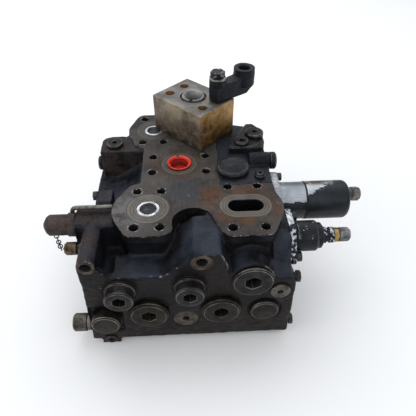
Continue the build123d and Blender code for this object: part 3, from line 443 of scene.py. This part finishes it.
def block_steel():
    """Milled block stained golden brown; its left side is painted darker and greyer and its top
    grey by the way they face, as painted light and shade.
    """
    s = Shade("block_stain", metallic=0.6)
    blotch = s.noise(38, 7, 0.74)
    mid = s.noise(130, 5, 0.65)
    fine = s.noise(800, 3, 0.6)
    gold = s.mix(s.step(blotch, 0.36, 0.62), (0.13, 0.062, 0.018), (0.44, 0.25, 0.085))
    gold = s.mix(s.both(s.step(mid, 0.53, 0.67), 0.6), gold, (0.4, 0.29, 0.17))
    gold = s.mix(s.both(s.step(s.noise(75, 6, 0.72), 0.57, 0.66), 0.75), gold,
                 (0.022, 0.013, 0.008))
    # Painted light and shade: the left side, which faces -X and -Y, is duller.
    grey = s.mix(s.step(blotch, 0.36, 0.66), (0.085, 0.07, 0.052), (0.27, 0.235, 0.185))
    grey = s.mix(s.both(s.step(mid, 0.54, 0.68), 0.6), grey, (0.25, 0.23, 0.2))
    side = s.both(s.step(s.nx, 0.1, -0.4), s.step(s.ny, 0.2, -0.3))
    colour = s.mix(s.both(side, 0.85), gold, grey)
    # Painted light: faces that point up take a grey top tone.
    top = s.step(s.nz, 0.6, 0.9)
    painted_top_tone = s.mix(s.step(blotch, 0.34, 0.64), (0.085, 0.076, 0.066), (0.2, 0.186, 0.172))
    colour = s.mix(top, colour, painted_top_tone)
    # Darker towards the bottom of the block, in patches.
    foot = s.both(s.step(s.z, 0.152, 0.139), s.step(mid, 0.38, 0.58))
    colour = s.mix(s.both(foot, 0.85), colour, (0.022, 0.015, 0.01))
    # Painted shade: corners found by an occlusion mask go dark as oil.
    shade_and_dirt = s.both(s.crevice(0.006), 0.8)
    colour = s.mix(shade_and_dirt, colour, OIL)
    mill = s.noise(1, 3, 0.5, 0, s.stretch(60, 60, 1400))
    rough = s.blend(s.step(blotch, 0.3, 0.7), 0.54, 0.4)
    return s.done(colour, rough, None, [(mid, 0.0002), (fine, 0.00005), (mill, 0.00004)])


def plastic(name, main, deep, rough, shade_and_fade=0.3, thin=0.0, reach=0.005):
    """Moulded plastic with a little dirt, fading and painted shade in its hollows."""
    s = Shade(name, roughness=rough, specular=0.35)
    s.bsdf.inputs["Subsurface Weight"].default_value = thin
    s.bsdf.inputs["Subsurface Radius"].default_value = (0.002, 0.001, 0.0006)
    tone = s.noise(120, 4, 0.6)
    # Painted shade: hollows found by an occlusion mask darken to the deep colour, as do faded
    # patches.
    shade_and_dirt = s.both(s.most(s.crevice(reach), s.step(tone, 0.6, 0.75)), shade_and_fade)
    colour = s.mix(s.step(tone, 0.3, 0.7), main, s.mix(0.5, main, deep))
    colour = s.mix(shade_and_dirt, colour, deep)
    return s.done(colour, s.blend(shade_and_dirt, rough, rough + 0.25), None, [(s.noise(500, 2), 0.00005)])


def grooved_disc():
    """Poppet face in the left and rear ports: dark blue grey with turned grooves."""
    s = Shade("poppet_face", metallic=0.7)
    wear = s.noise(160, 4, 0.6)
    stripe = s.math("SINE", s.both(s.y, 2 * math.pi / 0.0022))
    colour = s.mix(s.step(stripe, -0.4, 0.7), (0.018, 0.021, 0.027), (0.085, 0.095, 0.112))
    colour = s.mix(s.both(s.step(wear, 0.55, 0.7), 0.6), colour, (0.16, 0.165, 0.17))
    return s.done(colour, 0.42, None, [(stripe, 0.0004), (wear, 0.0002)])


ALLOY = (0.55, 0.57, 0.6)
MATERIALS = {
    "casting": body_paint(),
    "black": paint("black_steel", 0.4, 0.35),
    "black_clean": paint("black_gloss", 0.2, 0.15, 0.3, specular=0.22),
    "black_forged": paint("black_forging", 0.6, 0.2, 0.42),
    "plug": steel("plug_black_steel", (0.008, 0.0082, 0.0092), (0.028, 0.027, 0.029),
                  0.42, 0.8, 0.5, specular=0.15),
    "plug_brown": steel("plug_oily_steel", (0.008, 0.0062, 0.005), (0.03, 0.023, 0.017),
                        0.44, 0.8, 0.4, specular=0.15),
    "plug_edge": steel("plug_worn_edge", (0.05, 0.046, 0.042), (0.2, 0.185, 0.17), 0.36, 0.4, 0.8),
    "plug_bright": steel("plug_bright_top", (0.022, 0.019, 0.016), (0.11, 0.1, 0.09),
                         0.38, 0.7, 0.7),
    "screw": steel("screw_steel", (0.018, 0.018, 0.02), (0.07, 0.067, 0.064), 0.4, 0.6, 0.8),
    "cap": steel("cap_brown", (0.02, 0.0125, 0.0105), (0.062, 0.045, 0.04),
                 0.66, 0.5, 0.1, 1.6, 0.16),
    "cap_edge": steel("cap_worn", (0.022, 0.018, 0.016), (0.075, 0.06, 0.052), 0.55, 0.4, 0.3),
    "pipe": steel("pipe_steel", (0.075, 0.068, 0.056), (0.25, 0.235, 0.205),
                  0.38, 0.7, 0.85, 1.2, 0.3),
    "zinc": steel("fitting_steel", (0.1, 0.09, 0.08), (0.36, 0.34, 0.31),
                  0.36, 0.65, 0.9, 1.3, 0.2),
    "hex_dark": steel("hex_dark_steel", (0.045, 0.04, 0.038), (0.2, 0.185, 0.17),
                      0.38, 0.7, 0.85, 1.6),
    "brass": steel("brass_dull", (0.15, 0.095, 0.03), (0.42, 0.29, 0.11), 0.4, 0.6, 0.9, 1.5),
    "dust_cap": steel("dust_cap_brass", (0.035, 0.024, 0.015), (0.2, 0.14, 0.085),
                      0.4, 0.7, 0.8, 1.8),
    "copper": steel("copper_pin", (0.4, 0.16, 0.07), (0.62, 0.3, 0.15), 0.35, 0.3, 0.95),
    "seat": steel("seat_steel", (0.26, 0.26, 0.265), (0.62, 0.62, 0.63), 0.3, 0.45, 0.9, 1.5, 0.1),
    "poppet": grooved_disc(),
    "ground": steel("ground_steel", (0.13, 0.125, 0.12), (0.36, 0.35, 0.34), 0.3, 0.5, 0.9, 1.5),
    "spring": steel("spring_steel", (0.08, 0.08, 0.08), (0.3, 0.29, 0.28), 0.35, 0.4, 0.9),
    "knurl": steel("knurled_grey", (0.08, 0.08, 0.084), (0.3, 0.3, 0.305), 0.42, 0.6, 0.8, 1.6),
    "lower_knurl": steel("knurled_oily", (0.035, 0.031, 0.027), (0.2, 0.18, 0.155),
                         0.42, 0.7, 0.8, 1.6),
    "chain": steel("chain_dark", (0.006, 0.006, 0.006), (0.025, 0.023, 0.021), 0.45, 0.3, 0.4),
    "rubber": plastic("seal_rubber", (0.008, 0.008, 0.008), (0.02, 0.017, 0.015), 0.6),
    "red": plastic("red_plug", (0.78, 0.04, 0.015), (0.13, 0.005, 0.004), 0.38, 0.9, 0.0, 0.02),
    "grey": plastic("grey_plug", (0.27, 0.275, 0.27), (0.05, 0.044, 0.038), 0.42, 0.85, 0.0, 0.015),
    "housing": half_bare("housing_finish", -0.022, 0.109, 0.02, -0.05, 1.0, 0, 0.6),
    "spring_cap": half_bare("spring_cap_finish", -0.022, 0.109, 0.02, 0.3, 0.118, 24.0, 1.0),
    "relief_black": paint("relief_paint", 0.2, 0.6, 0.3, ALLOY, 1.0, 0.012),
    "collar": paint("collar_paint", 0.2, 0.8, 0.34, ALLOY, 1.0, 0.06),
    "flange_alloy": paint("flange_paint", 0.15, 0.8, 0.34, ALLOY, 1.0, 0.11),
    "alloy_edge": steel("alloy_edge", (0.03, 0.03, 0.032), (0.42, 0.43, 0.45), 0.42, 0.4, 0.7, 2.6),
    "block": block_steel(),
    "block_edge": steel("block_edge", (0.1, 0.075, 0.045), (0.4, 0.34, 0.27), 0.38, 0.4, 0.8),
    "black_edge": steel("worn_black_edge", (0.01, 0.01, 0.011), (0.09, 0.088, 0.088),
                        0.42, 0.3, 0.5, 3.0),
}


# ---------------------------------------------------------------- mesh helpers
def new_object(name, mesh):
    o = bpy.data.objects.new(name, mesh)
    scene.collection.objects.link(o)
    return o


def shell(rings, mesh_name="shell", wrap=False):
    """Closed mesh through rings of points, each with the same count."""
    verts = [Vector(p) * MM for ring in rings for p in ring]
    n, faces = len(rings[0]), []
    spans = len(rings) if wrap else len(rings) - 1
    for i in range(spans):
        a, b = i * n, ((i + 1) % len(rings)) * n
        faces += [(a + j, a + (j + 1) % n, b + (j + 1) % n, b + j) for j in range(n)]
    if not wrap:
        faces += [tuple(reversed(range(n))), tuple(range((len(rings) - 1) * n, len(rings) * n))]
    mesh = bpy.data.meshes.new(mesh_name)
    mesh.from_pydata(verts, [], faces)
    bm = bmesh.new()
    bm.from_mesh(mesh)
    bmesh.ops.recalc_face_normals(bm, faces=bm.faces)
    bm.to_mesh(mesh)
    bm.free()
    return mesh


def axes_of(axis):
    """Two directions square to axis."""
    w = Vector(axis).normalized()
    u = Vector((0, 0, 1)) if abs(w.z) < 0.9 else Vector((1, 0, 0))
    u = (u - w * u.dot(w)).normalized()
    return u, w.cross(u), w


def turned(origin, axis, profile, segments=ROUND_SEGMENTS, shape=None):
    """Closed round mesh. profile holds (distance along axis, radius)."""
    u, v, w = axes_of(axis)
    rings = []
    for along, radius in profile:
        ring = []
        for j in range(segments):
            a = 2 * math.pi * j / segments
            r = max(radius, 0.01)
            if shape:
                r -= shape(along, a, radius)
            ring.append(Vector(origin) + w * along + u * (r * math.cos(a)) + v * (r * math.sin(a)))
        rings.append(ring)
    return shell(rings)


def circle(centre, radius, z, segments=48):
    return [(centre[0] + radius * math.cos(2 * math.pi * i / segments),
             centre[1] + radius * math.sin(2 * math.pi * i / segments), z) for i in range(segments)]


def hull(points):
    """Convex outline of (x, y, ...) points, anticlockwise."""
    pts = sorted(set((round(p[0], 5), round(p[1], 5)) for p in points))

    def half(seq):
        out = []
        for p in seq:
            while len(out) > 1 and ((out[-1][0] - out[-2][0]) * (p[1] - out[-2][1])
                                    - (out[-1][1] - out[-2][1]) * (p[0] - out[-2][0])) <= 0:
                out.pop()
            out.append(p)
        return out[:-1]
    return half(pts) + half(pts[::-1])


def prism(outline, low, high):
    return shell([[(x, y, low) for x, y in outline], [(x, y, high) for x, y in outline]])


def box_mesh(low, high):
    (x0, y0, z0), (x1, y1, z1) = low, high
    return prism([(x0, y0), (x1, y0), (x1, y1), (x0, y1)], z0, z1)


def joined(meshes, name):
    bm = bmesh.new()
    for m in meshes:
        bm.from_mesh(m)
    mesh = bpy.data.meshes.new(name)
    bm.to_mesh(mesh)
    bm.free()
    return mesh


def clean_copy(node, name):
    """The CAD node's mesh with its split corners joined again and flat areas merged."""
    bm = bmesh.new()
    bm.from_mesh(nodes[node].data)
    bmesh.ops.remove_doubles(bm, verts=bm.verts, dist=3e-6)
    bmesh.ops.dissolve_limit(bm, angle_limit=math.radians(0.4), verts=bm.verts, edges=bm.edges)
    mesh = bpy.data.meshes.new(name)
    bm.to_mesh(mesh)
    bm.free()
    return mesh


def applied(o):
    """o's mesh with its modifiers worked in."""
    graph = bpy.context.evaluated_depsgraph_get()
    mesh = bpy.data.meshes.new_from_object(o.evaluated_get(graph))
    o.modifiers.clear()
    old, o.data = o.data, mesh
    bpy.data.meshes.remove(old)
    return o


def minus(mesh, cutter):
    """mesh with the closed mesh cutter taken out of it."""
    o, tool = new_object("whole", mesh), new_object("tool", cutter)
    knife = o.modifiers.new("cut", "BOOLEAN")
    knife.operation = "DIFFERENCE"
    knife.solver = "MANIFOLD"
    knife.object = tool
    left = applied(o).data
    left.materials.clear()
    bpy.data.objects.remove(o)
    bpy.data.objects.remove(tool)
    return left


def smooth(mesh, angle=32):
    mesh.polygons.foreach_set("use_smooth", [True] * len(mesh.polygons))
    mesh.set_sharp_from_angle(angle=math.radians(angle))
    mesh.update()


def dress(o, body, slot_name, materials, *replaced):
    for m in materials:
        o.data.materials.append(MATERIALS[m])
    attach(o, body)
    if replaced:
        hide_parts(*replaced)
    return o


body_of = {n: b for b, ns in frame["record"]["behaviour"]["bodies"].items() for n in ns}
slot_of = {s["node"]: s["material_slot"] for s in frame["record"]["subparts"]}


def refined(node, main, edge, width=0.35, segments=2, angle=28):
    """Stands for a CAD node with the same shape and real rounded, worn edges."""
    o = new_object(node + "_piece", clean_copy(node, node + "_mesh"))
    o.data.materials.clear()
    bevel = o.modifiers.new("edges", "BEVEL")
    bevel.width = width * MM
    bevel.segments = segments
    bevel.limit_method = "ANGLE"
    bevel.angle_limit = math.radians(angle)
    bevel.harden_normals = False
    bevel.material = 1 if edge else 0
    dress(o, body_of[node], slot_of[node], [main, edge] if edge else [main], node)
    o.data.polygons.foreach_set("material_index", [0] * len(o.data.polygons))
    applied(o)
    smooth(o.data, 35)
    return o


def cast(node, name, voxel, rounds, fill=(), cut=(), keep_sharp=None, rough=0.0, coarse=0.012):
    """Stands for a cast or forged CAD node: rounded and uneven, then machined crisp."""
    meshes = [clean_copy(node, name)] + list(fill)
    o = new_object(name, joined(meshes, name + "_mesh"))
    o.data.materials.clear()
    remesh = o.modifiers.new("skin", "REMESH")
    remesh.mode = "VOXEL"
    remesh.voxel_size = voxel * MM
    applied(o)
    group = o.vertex_groups.new(name="cast")
    free = [v.index for v in o.data.vertices if not (keep_sharp and keep_sharp(v.co / MM))]
    group.add(free, 1.0, "REPLACE")
    soften = o.modifiers.new("soften", "SMOOTH")
    soften.factor = 0.5
    soften.iterations = rounds
    soften.vertex_group = "cast"
    if rough:
        for scale, share in ((coarse, 1.0), (coarse / 4, 0.35)):
            texture = bpy.data.textures.new(name + "_skin", "CLOUDS")
            texture.noise_scale = scale
            texture.noise_depth = 2
            wave = o.modifiers.new("skin_%g" % share, "DISPLACE")
            wave.texture = texture
            wave.texture_coords = "LOCAL"
            wave.strength = rough * share * MM
            wave.mid_level = 0.85
            wave.vertex_group = "cast"
    applied(o)
    o.vertex_groups.clear()
    for i, mesh in enumerate(cut):
        tool = new_object("cutter_%d" % i, mesh)
        knife = o.modifiers.new("cut_%d" % i, "BOOLEAN")
        knife.operation = "DIFFERENCE"
        knife.solver = "MANIFOLD"
        knife.object = tool
        applied(o)
        bpy.data.objects.remove(tool)
    o.data.polygons.foreach_set("material_index", [0] * len(o.data.polygons))
    o.data.materials.clear()
    smooth(o.data, 34)
    return o


# ---------------------------------------------------------------- casting
TOP = 142                   # how high the rough casting stands before the deck is cut


def pad(centre, pattern, core, lug):
    made = []
    for inset, low in ((0, 125), (4, 96)):
        pts = circle(centre, core - inset, 0)
        for dx, dy in corners(pattern):
            pts += circle((centre[0] + dx, centre[1] + dy), lug - inset, 0)
        made.append(prism(hull(pts), low, TOP))
    return made


deck_outline = [(-57, -64), (30, -64), (79, -40), (79, 1), (55, 1), (55, 27), (79, 27), (79, 66),
                (70, 82), (36, 92), (-57, 92)]
deck_fill = bpy.data.meshes.new("deck")
flat = bmesh.new()
ring_low = [flat.verts.new((x * MM, y * MM, 0.1)) for x, y in deck_outline]
base = flat.faces.new(ring_low)
grown = bmesh.ops.extrude_face_region(flat, geom=[base])
for v in (g for g in grown["geom"] if isinstance(g, bmesh.types.BMVert)):
    v.co.z = TOP * MM
bmesh.ops.recalc_face_normals(flat, faces=flat.faces)
bmesh.ops.triangulate(flat, faces=flat.faces)
flat.to_mesh(deck_fill)
flat.free()

arch = prism([p[:2] for p in circle(ARCH[:2], ARCH[2], 0)], 98, 160)
front_fill = [deck_fill] + pad(LEFT_PORT, SMALL, 35, 12) + pad(RIGHT_PORT, LARGE, 37, 11)
fill = [minus(mesh, arch) for mesh in front_fill]
fill += [prism([p[:2] for p in circle(BLOCK_PORT, 37, 0)], 96, TOP)] + pad(REAR_PORT, SMALL, 30, 10)
fill += [turned((x, FRONT_MM, z), (0, 1, 0), [(0, 6.6), (31, 6.6)])
         for x, z in (LEFT_MOUNT, CENTRE_MOUNT, SPOT_FACE)]

# Everything above the deck goes, apart from the cross barrel on the right.
deck_cuts = [box_mesh((-150, -150, DECK_MM), (56.5, 150, 160)),
             box_mesh((56.4, -150, DECK_MM), (120, 1.5, 160)),
             box_mesh((56.4, 26.5, DECK_MM), (120, 150, 160))]
hole = [(9, 4.9), (0, 4.85), (-0.6, 4.25), (-17, 4.25), (-19, 0.1)]
holes = []
for port, pattern in PATTERNS:
    for dx, dy in corners(pattern):
        holes.append(turned((port[0] + dx, port[1] + dy, DECK_MM), (0, 0, 1), hole, 32))
for port in (LEFT_PORT, REAR_PORT):
    holes.append(turned((*port, DECK_MM), (0, 0, 1), [(9, 11.5), (0, 11.4), (-0.4, 11), (-5, 11),
                                                      (-5.01, 8.3), (-34, 8.3)]))
holes.append(turned((*CENTRE_PORT, DECK_MM), (0, 0, 1),
                    [(9, 10.4), (0, 10.35), (-0.3, 10.05), (-28, 10)]))
slot_rings = []
for z, out in ((146, 0.6), (DECK_MM, 0.55), (136.4, 0), (99, 0), (98.6, -1)):
    ring = []
    for i in range(48):
        a = 2 * math.pi * i / 48
        side = SLOT_HALF if math.cos(a) > 0 else -SLOT_HALF
        ring.append((RIGHT_PORT[0] + side + (SLOT_R + out) * math.cos(a),
                     RIGHT_PORT[1] + (SLOT_R + out) * math.sin(a), z))
    slot_rings.append(ring)
holes.append(shell(slot_rings))
mount_hole = [(-9, 6.4), (0, 6.35), (1.2, 5.1), (28, 5.1), (30, 0.1)]
for (x, z), profile in (
        (LEFT_MOUNT, mount_hole), (CENTRE_MOUNT, mount_hole),
        (SPOT_FACE, [(-9, 13), (1.2, 13), (1.21, 3.8), (1.8, 3.3), (12, 3.3), (14, 0.1)]),
        ((-74.3, 89), [(-9, 17), (1.5, 17)]), ((-9.7, 92), [(-9, 17), (1.5, 17)]),
        ((-50.4, 53.5), [(-9, 20.5), (1, 20.5)]), ((20.5, 55), [(-9, 20.5), (1, 20.5)]),
        ((76.5, 80), [(-9, 10.5), (1, 10.5)]), ((64, 49.5), [(-9, 17), (2.5, 17)])):
    holes.append(turned((x, FRONT_MM, z), (0, 1, 0), profile, 56))


def body_keeps(p):
    """Mating faces that stay flat and square."""
    if p.x > 77.5 and -47 < p.y < 3 and 83 < p.z < 134:
        return True
    if p.x > 85.5 and -103 < p.y < -43 and 83 < p.z < 124:
        return True
    return p.x < -116 or p.z < 1.5


body = cast("valve_body", "casting", 1.15, 9, fill, deck_cuts + [joined(holes, "holes")],
            body_keeps, 0.9)
dress(body, "valve", "casting", ["casting"], "valve_body")

# ---------------------------------------------------------------- plugs, covers and screws
LOOKS = {
    "socket_plugs": ("plug", "plug_edge", 0.5), "flange_plugs": ("plug_brown", "plug_edge", 0.4),
    "compensator_plug": ("plug", "plug_edge", 0.5),
    "gallery_plug": ("plug_bright", "plug_edge", 0.3),
    "blank_plugs": ("plug_brown", "plug_edge", 0.5), "foot_plug": ("plug_brown", "plug_edge", 0.2),
    "socket_plug_seals": ("rubber", None, 0.2), "flange_plug_seals": ("rubber", None, 0.2),
    "compensator_plug_seal": ("rubber", None, 0.2), "pilot_cover_gasket": ("rubber", None, 0.1),
    "housing_seal": ("rubber", None, 0.3),
    "left_cap_collar": ("cap", "cap_edge", 0.5), "left_end_cap": ("cap", "cap_edge", 0.8),
    "drain_pipe": ("pipe", None, 0.1), "upper_test_coupling": ("hex_dark", "plug_edge", 0.3),
    "lower_test_coupling": ("hex_dark", "plug_edge", 0.3),
    "rear_left_plugs": ("plug", "plug_edge", 0.3), "pilot_cover": ("black", "black_edge", 0.5),
    "pilot_cover_plugs": ("plug", "plug_edge", 0.3),
    "round_cover": ("black_clean", "black_edge", 0.5),
    "barrel_end_plug": ("plug", "plug_edge", 0.4), "deck_plug": ("plug", "plug_edge", 0.3),
    "side_bolts": ("screw", "black_edge", 0.35), "spring_housing": ("housing", None, 0.4),
    "housing_screws": ("screw", "plug_edge", 0.3), "spring_cap": ("spring_cap", None, 0.6),
    "end_fitting": ("hex_dark", "plug_edge", 0.3), "end_nut": ("hex_dark", "plug_edge", 0.4),
    "spool": ("ground", None, 0.2), "inner_spring_seat": ("ground", None, 0.2),
    "outer_spring_seat": ("ground", None, 0.2), "spool_screw": ("screw", None, 0.2),
    "relief_flange": ("flange_alloy", None, 0.6), "relief_screws": ("screw", "plug_edge", 0.35),
    "relief_body": ("relief_black", "black_edge", 0.6),
    "relief_ring": ("black_clean", "black_edge", 0.4),
    "relief_collar": ("collar", None, 0.3), "relief_lock_nut": ("brass", None, 0.35),
    "relief_poppet": ("ground", None, 0.1),
    "port_seats": ("seat", None, 0.25), "front_poppet": ("poppet", None, 0.3),
    "rear_poppet": ("poppet", None, 0.3),
    "adaptor_block": ("block", "block_edge", 0.25), "block_side_plug": ("plug", "plug_edge", 0.3),
    "arm_washer": ("zinc", None, 0.2),
    "arm_bolt": ("black", "black_edge", 0.4),
}
for node, (main, edge, width) in LOOKS.items():
    refined(node, main, edge, width)
for node, look in (("spool_spring", "spring"), ("relief_spring", "spring"),
                   ("front_poppet_spring", "spring"), ("rear_poppet_spring", "spring")):
    mesh = nodes[node].data
    mesh.materials.clear()
    mesh.materials.append(MATERIALS[look])


# ---------------------------------------------------------------- knurled caps
def knurl(teeth, depth, low, high):
    """Crossed grooves between two places along the cap."""
    def shape(along, angle, radius):
        if not low < along < high:
            return 0
        turn = along / radius
        a = abs(math.sin((angle + turn) * teeth / 2))
        b = abs(math.sin((angle - turn) * teeth / 2))
        return depth * (1 - min(a, b) ** 0.6)
    return shape


def knurled_cap(node, name, body_name, origin, axis, radius, length, nose, look, teeth):
    steps = int(length / 0.35)
    profile = [(0, radius - 0.5), (0.4, radius)]
    profile += [(0.6 + (length - 1.2) * i / steps, radius) for i in range(steps + 1)]
    profile += [(length - 0.4, radius), (length, radius - 0.2), (length + nose, radius - 1.5)]
    mesh = turned(origin, axis, profile, teeth * 6, knurl(teeth, 0.45, 0.9, length - 0.9))
    o = new_object(name, mesh)
    smooth(o.data, 50)
    return dress(o, body_name, slot_of[node], [look], node)


knurled_cap("upper_dust_cap", "upper_cap", "upper_cap", (-116, *UPPER_COUPLING), (-1, 0, 0),
            6.4, 10, 1.5, "dust_cap", 26)
pin = new_object("upper_cap_pin", turned((-127.3, *UPPER_COUPLING), (-1, 0, 0),
                                         [(0, 1.2), (1.6, 1.2), (2.1, 0.9), (2.2, 0.3)], 24))
smooth(pin.data)
dress(pin, "upper_cap", "dust_cap_brass", ["copper"])
knurled_cap("lower_dust_cap", "lower_cap", "lower_cap", (-117.5, *LOWER_COUPLING), (-1, 0, 0),
            9.4, 12.5, 1.5, "lower_knurl", 36)
stem = new_object("adjuster_stem", turned((104, *RELIEF), (1, 0, 0),
                                          [(0, 4.2), (0.4, 4.45), (36, 4.45)], 32))
smooth(stem.data)
dress(stem, "adjuster", slot_of["relief_adjuster"], ["spring"])
knurled_cap("relief_adjuster", "adjuster_cap", "adjuster", (140, *RELIEF), (1, 0, 0),
            7.2, 9.5, 1.5, "knurl", 30)

# ---------------------------------------------------------------- chain
CHAIN_START, CHAIN_END = Vector((-131.6, -78.4, 107.9)), Vector((-140, -60.4, 105.6))
# Half length, half width and wire radius of a link, and how many there are.
LINK_LONG, LINK_WIDE, WIRE, LINKS = 3.0, 2.0, 0.55, 6
CHAIN_SAG = 1.6


def chain_link(centre, along, across):
    """One oval link of round wire."""
    square = along.cross(across)
    rings = []
    for i in range(20):
        a = 2 * math.pi * i / 20
        out = (along * math.cos(a) * LINK_WIDE + across * math.sin(a) * LINK_LONG).normalized()
        middle = centre + along * (math.cos(a) * LINK_LONG) + across * (math.sin(a) * LINK_WIDE)
        rings.append([middle + (out * math.cos(b) + square * math.sin(b)) * WIRE
                      for b in (2 * math.pi * j / 8 for j in range(8))])
    return shell(rings, "link", True)


run = (CHAIN_END - CHAIN_START) / (LINKS - 1)
flat = run.normalized().cross(Vector((0, 0, 1))).normalized()
links = []
for i in range(LINKS):
    sag = Vector((0, 0, -CHAIN_SAG * math.sin(math.pi * i / (LINKS - 1))))
    tilt = flat if i % 2 else run.normalized().cross(flat)
    links.append(chain_link(CHAIN_START + run * i + sag, run.normalized(), tilt))
chain = new_object("chain_links", joined(links, "chain_links_mesh"))
smooth(chain.data, 60)
dress(chain, "valve", slot_of["cap_chain"], ["chain"], "cap_chain")

# ---------------------------------------------------------------- port plugs
NOTCH = 60                  # opening of a V notch, degrees
NOTCH_TIP, NOTCH_DEPTH = 8.6, 6


def port_plug(node, name, body_name, centre, low, profile, notch_towards, look):
    """Hollow plastic plug with a V notch in its rim."""
    mesh = turned((*centre, low), (0, 0, 1), profile, 96)
    u, v = math.cos(math.radians(notch_towards)), math.sin(math.radians(notch_towards))
    half = math.tan(math.radians(NOTCH / 2)) * NOTCH_DEPTH
    out = NOTCH_TIP + NOTCH_DEPTH
    wedge = [(centre[0] + u * NOTCH_TIP, centre[1] + v * NOTCH_TIP),
             (centre[0] + u * out - v * half, centre[1] + v * out + u * half),
             (centre[0] + u * out + v * half, centre[1] + v * out - u * half)]
    cut = minus(mesh, prism(hull(wedge), low + profile[2][0] + 0.05, low + 40))
    o = new_object(name, cut)
    smooth(o.data, 40)
    return dress(o, body_name, slot_of[node], [look], node)


port_plug("red_port_plug", "red_plug_shell", "red_plug", CENTRE_PORT, 127.1,
          [(0, 8.6), (0.6, 9.3), (10, 9.6), (10.1, 12.5), (10.6, 12.9), (11.7, 12.9), (12.2, 12.4),
           (12.1, 11.4), (11.2, 10.4), (6, 8.9), (2.2, 8.3), (2, 0.1)], 97, "red")
port_plug("grey_port_plug", "grey_plug_shell", "grey_plug", BLOCK_PORT, 169.1,
          [(0, 7.6), (0.6, 8.6), (8.9, 8.8), (9.05, 12.4), (9.5, 12.9), (12.9, 12.8), (13.4, 12.3),
           (13.4, 11.2), (12.8, 10.3), (9, 8), (2.2, 7.2), (2, 0.1)], 255, "grey")

# ---------------------------------------------------------------- arm
arm_eye = (ARM_FOOT[0] + ARM_REACH * math.cos(ARM_TURN),
           ARM_FOOT[1] + ARM_REACH * math.sin(ARM_TURN))
arm_cuts = [turned((*arm_eye, 174), (0, 0, 1), [(0, 5.9), (35, 5.9), (35.01, 7.4), (45, 7.4)]),
            turned((*ARM_FOOT, 174), (0, 0, 1), [(0, 5.3), (45, 5.3)])]
arm = cast("offset_arm", "arm", 0.8, 6, (), arm_cuts, None, 0.5, 0.008)
dress(arm, "arm", "forged_black", ["black_forged"], "offset_arm")

# ---------------------------------------------------------------- floor, lights, camera
floor_mesh = bpy.data.meshes.new("floor")
span = 6.0                  # half of the floor's side, metres
floor_mesh.from_pydata([(-span, -span, 0), (span, -span, 0), (span, span, 0), (-span, span, 0)],
                       [], [(0, 1, 2, 3)])
floor = new_object("floor", floor_mesh)
ground = Shade("floor_pale", roughness=0.75, specular=0.2)
floor.data.materials.append(ground.done(
    ground.mix(ground.step(ground.noise(3, 4), 0.3, 0.7), (0.9, 0.9, 0.9), (0.92, 0.92, 0.92))))

world = bpy.data.worlds.new("studio")
scene.world = world
world.use_nodes = True
wt = world.node_tree
wt.nodes.clear()
background = wt.nodes.new("ShaderNodeBackground")
wt.links.new(background.outputs[0], wt.nodes.new("ShaderNodeOutputWorld").inputs[0])
direction = wt.nodes.new("ShaderNodeSeparateXYZ")
wt.links.new(wt.nodes.new("ShaderNodeTexCoord").outputs["Generated"], direction.inputs[0])
rise = wt.nodes.new("ShaderNodeMapRange")
rise.interpolation_type = "SMOOTHSTEP"
rise.inputs["From Min"].default_value = -0.1
rise.inputs["From Max"].default_value = 0.9
wt.links.new(direction.outputs["Z"], rise.inputs["Value"])
sky = wt.nodes.new("ShaderNodeMix")
sky.data_type = "RGBA"
sky.inputs[6].default_value = (0.3, 0.3, 0.31, 1)
sky.inputs[7].default_value = (0.93, 0.96, 1.0, 1)
wt.links.new(rise.outputs["Result"], sky.inputs[0])
wt.links.new(sky.outputs[2], background.inputs["Color"])
background.inputs["Strength"].default_value = 1.0


def softbox(name, at, towards, size, power, colour):
    light = bpy.data.lights.new(name, "AREA")
    light.shape = "RECTANGLE"
    light.size, light.size_y = size
    light.energy = power
    light.color = colour
    o = bpy.data.objects.new(name, light)
    scene.collection.objects.link(o)
    o.location = at
    o.rotation_mode = "QUATERNION"
    o.rotation_quaternion = (Vector(towards) - Vector(at)).to_track_quat("-Z", "Y")
    return o


softbox("sky_window", (-0.15, 0.75, 1.25), (0, 0, 0.1), (1.8, 1.3), 9, (0.97, 0.985, 1.0))
softbox("side_fill", (-1.1, -0.5, 0.7), (0, 0, 0.08), (0.8, 0.8), 2.5, (1.0, 0.97, 0.93))
softbox("front_fill", (0.5, -1.2, 0.9), (0, 0, 0.08), (0.9, 0.7), 2, (1.0, 0.98, 0.95))

FOCAL_SHARE = 418.147 / 416    # focal length over sensor width
CAMERA_AT = (-0.0073, -0.3546, 0.40786)
camera_data = bpy.data.cameras.new("camera")
camera = bpy.data.objects.new("camera", camera_data)
scene.collection.objects.link(camera)
scene.camera = camera
camera_data.sensor_width = 36
camera_data.lens = camera_data.sensor_width * FOCAL_SHARE
camera_data.clip_start = 0.02
camera_data.clip_end = 50
yaw, pitch, roll = 0.05966, 0.74307, 0.00686
ahead = Vector((math.sin(yaw) * math.cos(pitch), math.cos(yaw) * math.cos(pitch), -math.sin(pitch)))
right = Vector((math.cos(yaw), -math.sin(yaw), 0))
up = right.cross(ahead)
right, up = (right * math.cos(roll) + up * math.sin(roll),
             up * math.cos(roll) - right * math.sin(roll))
place = Matrix((right, up, -ahead)).transposed().to_4x4()
place.translation = Vector(CAMERA_AT)
camera.matrix_world = place
scene.view_settings.view_transform = "Standard"
scene.view_settings.look = "None"
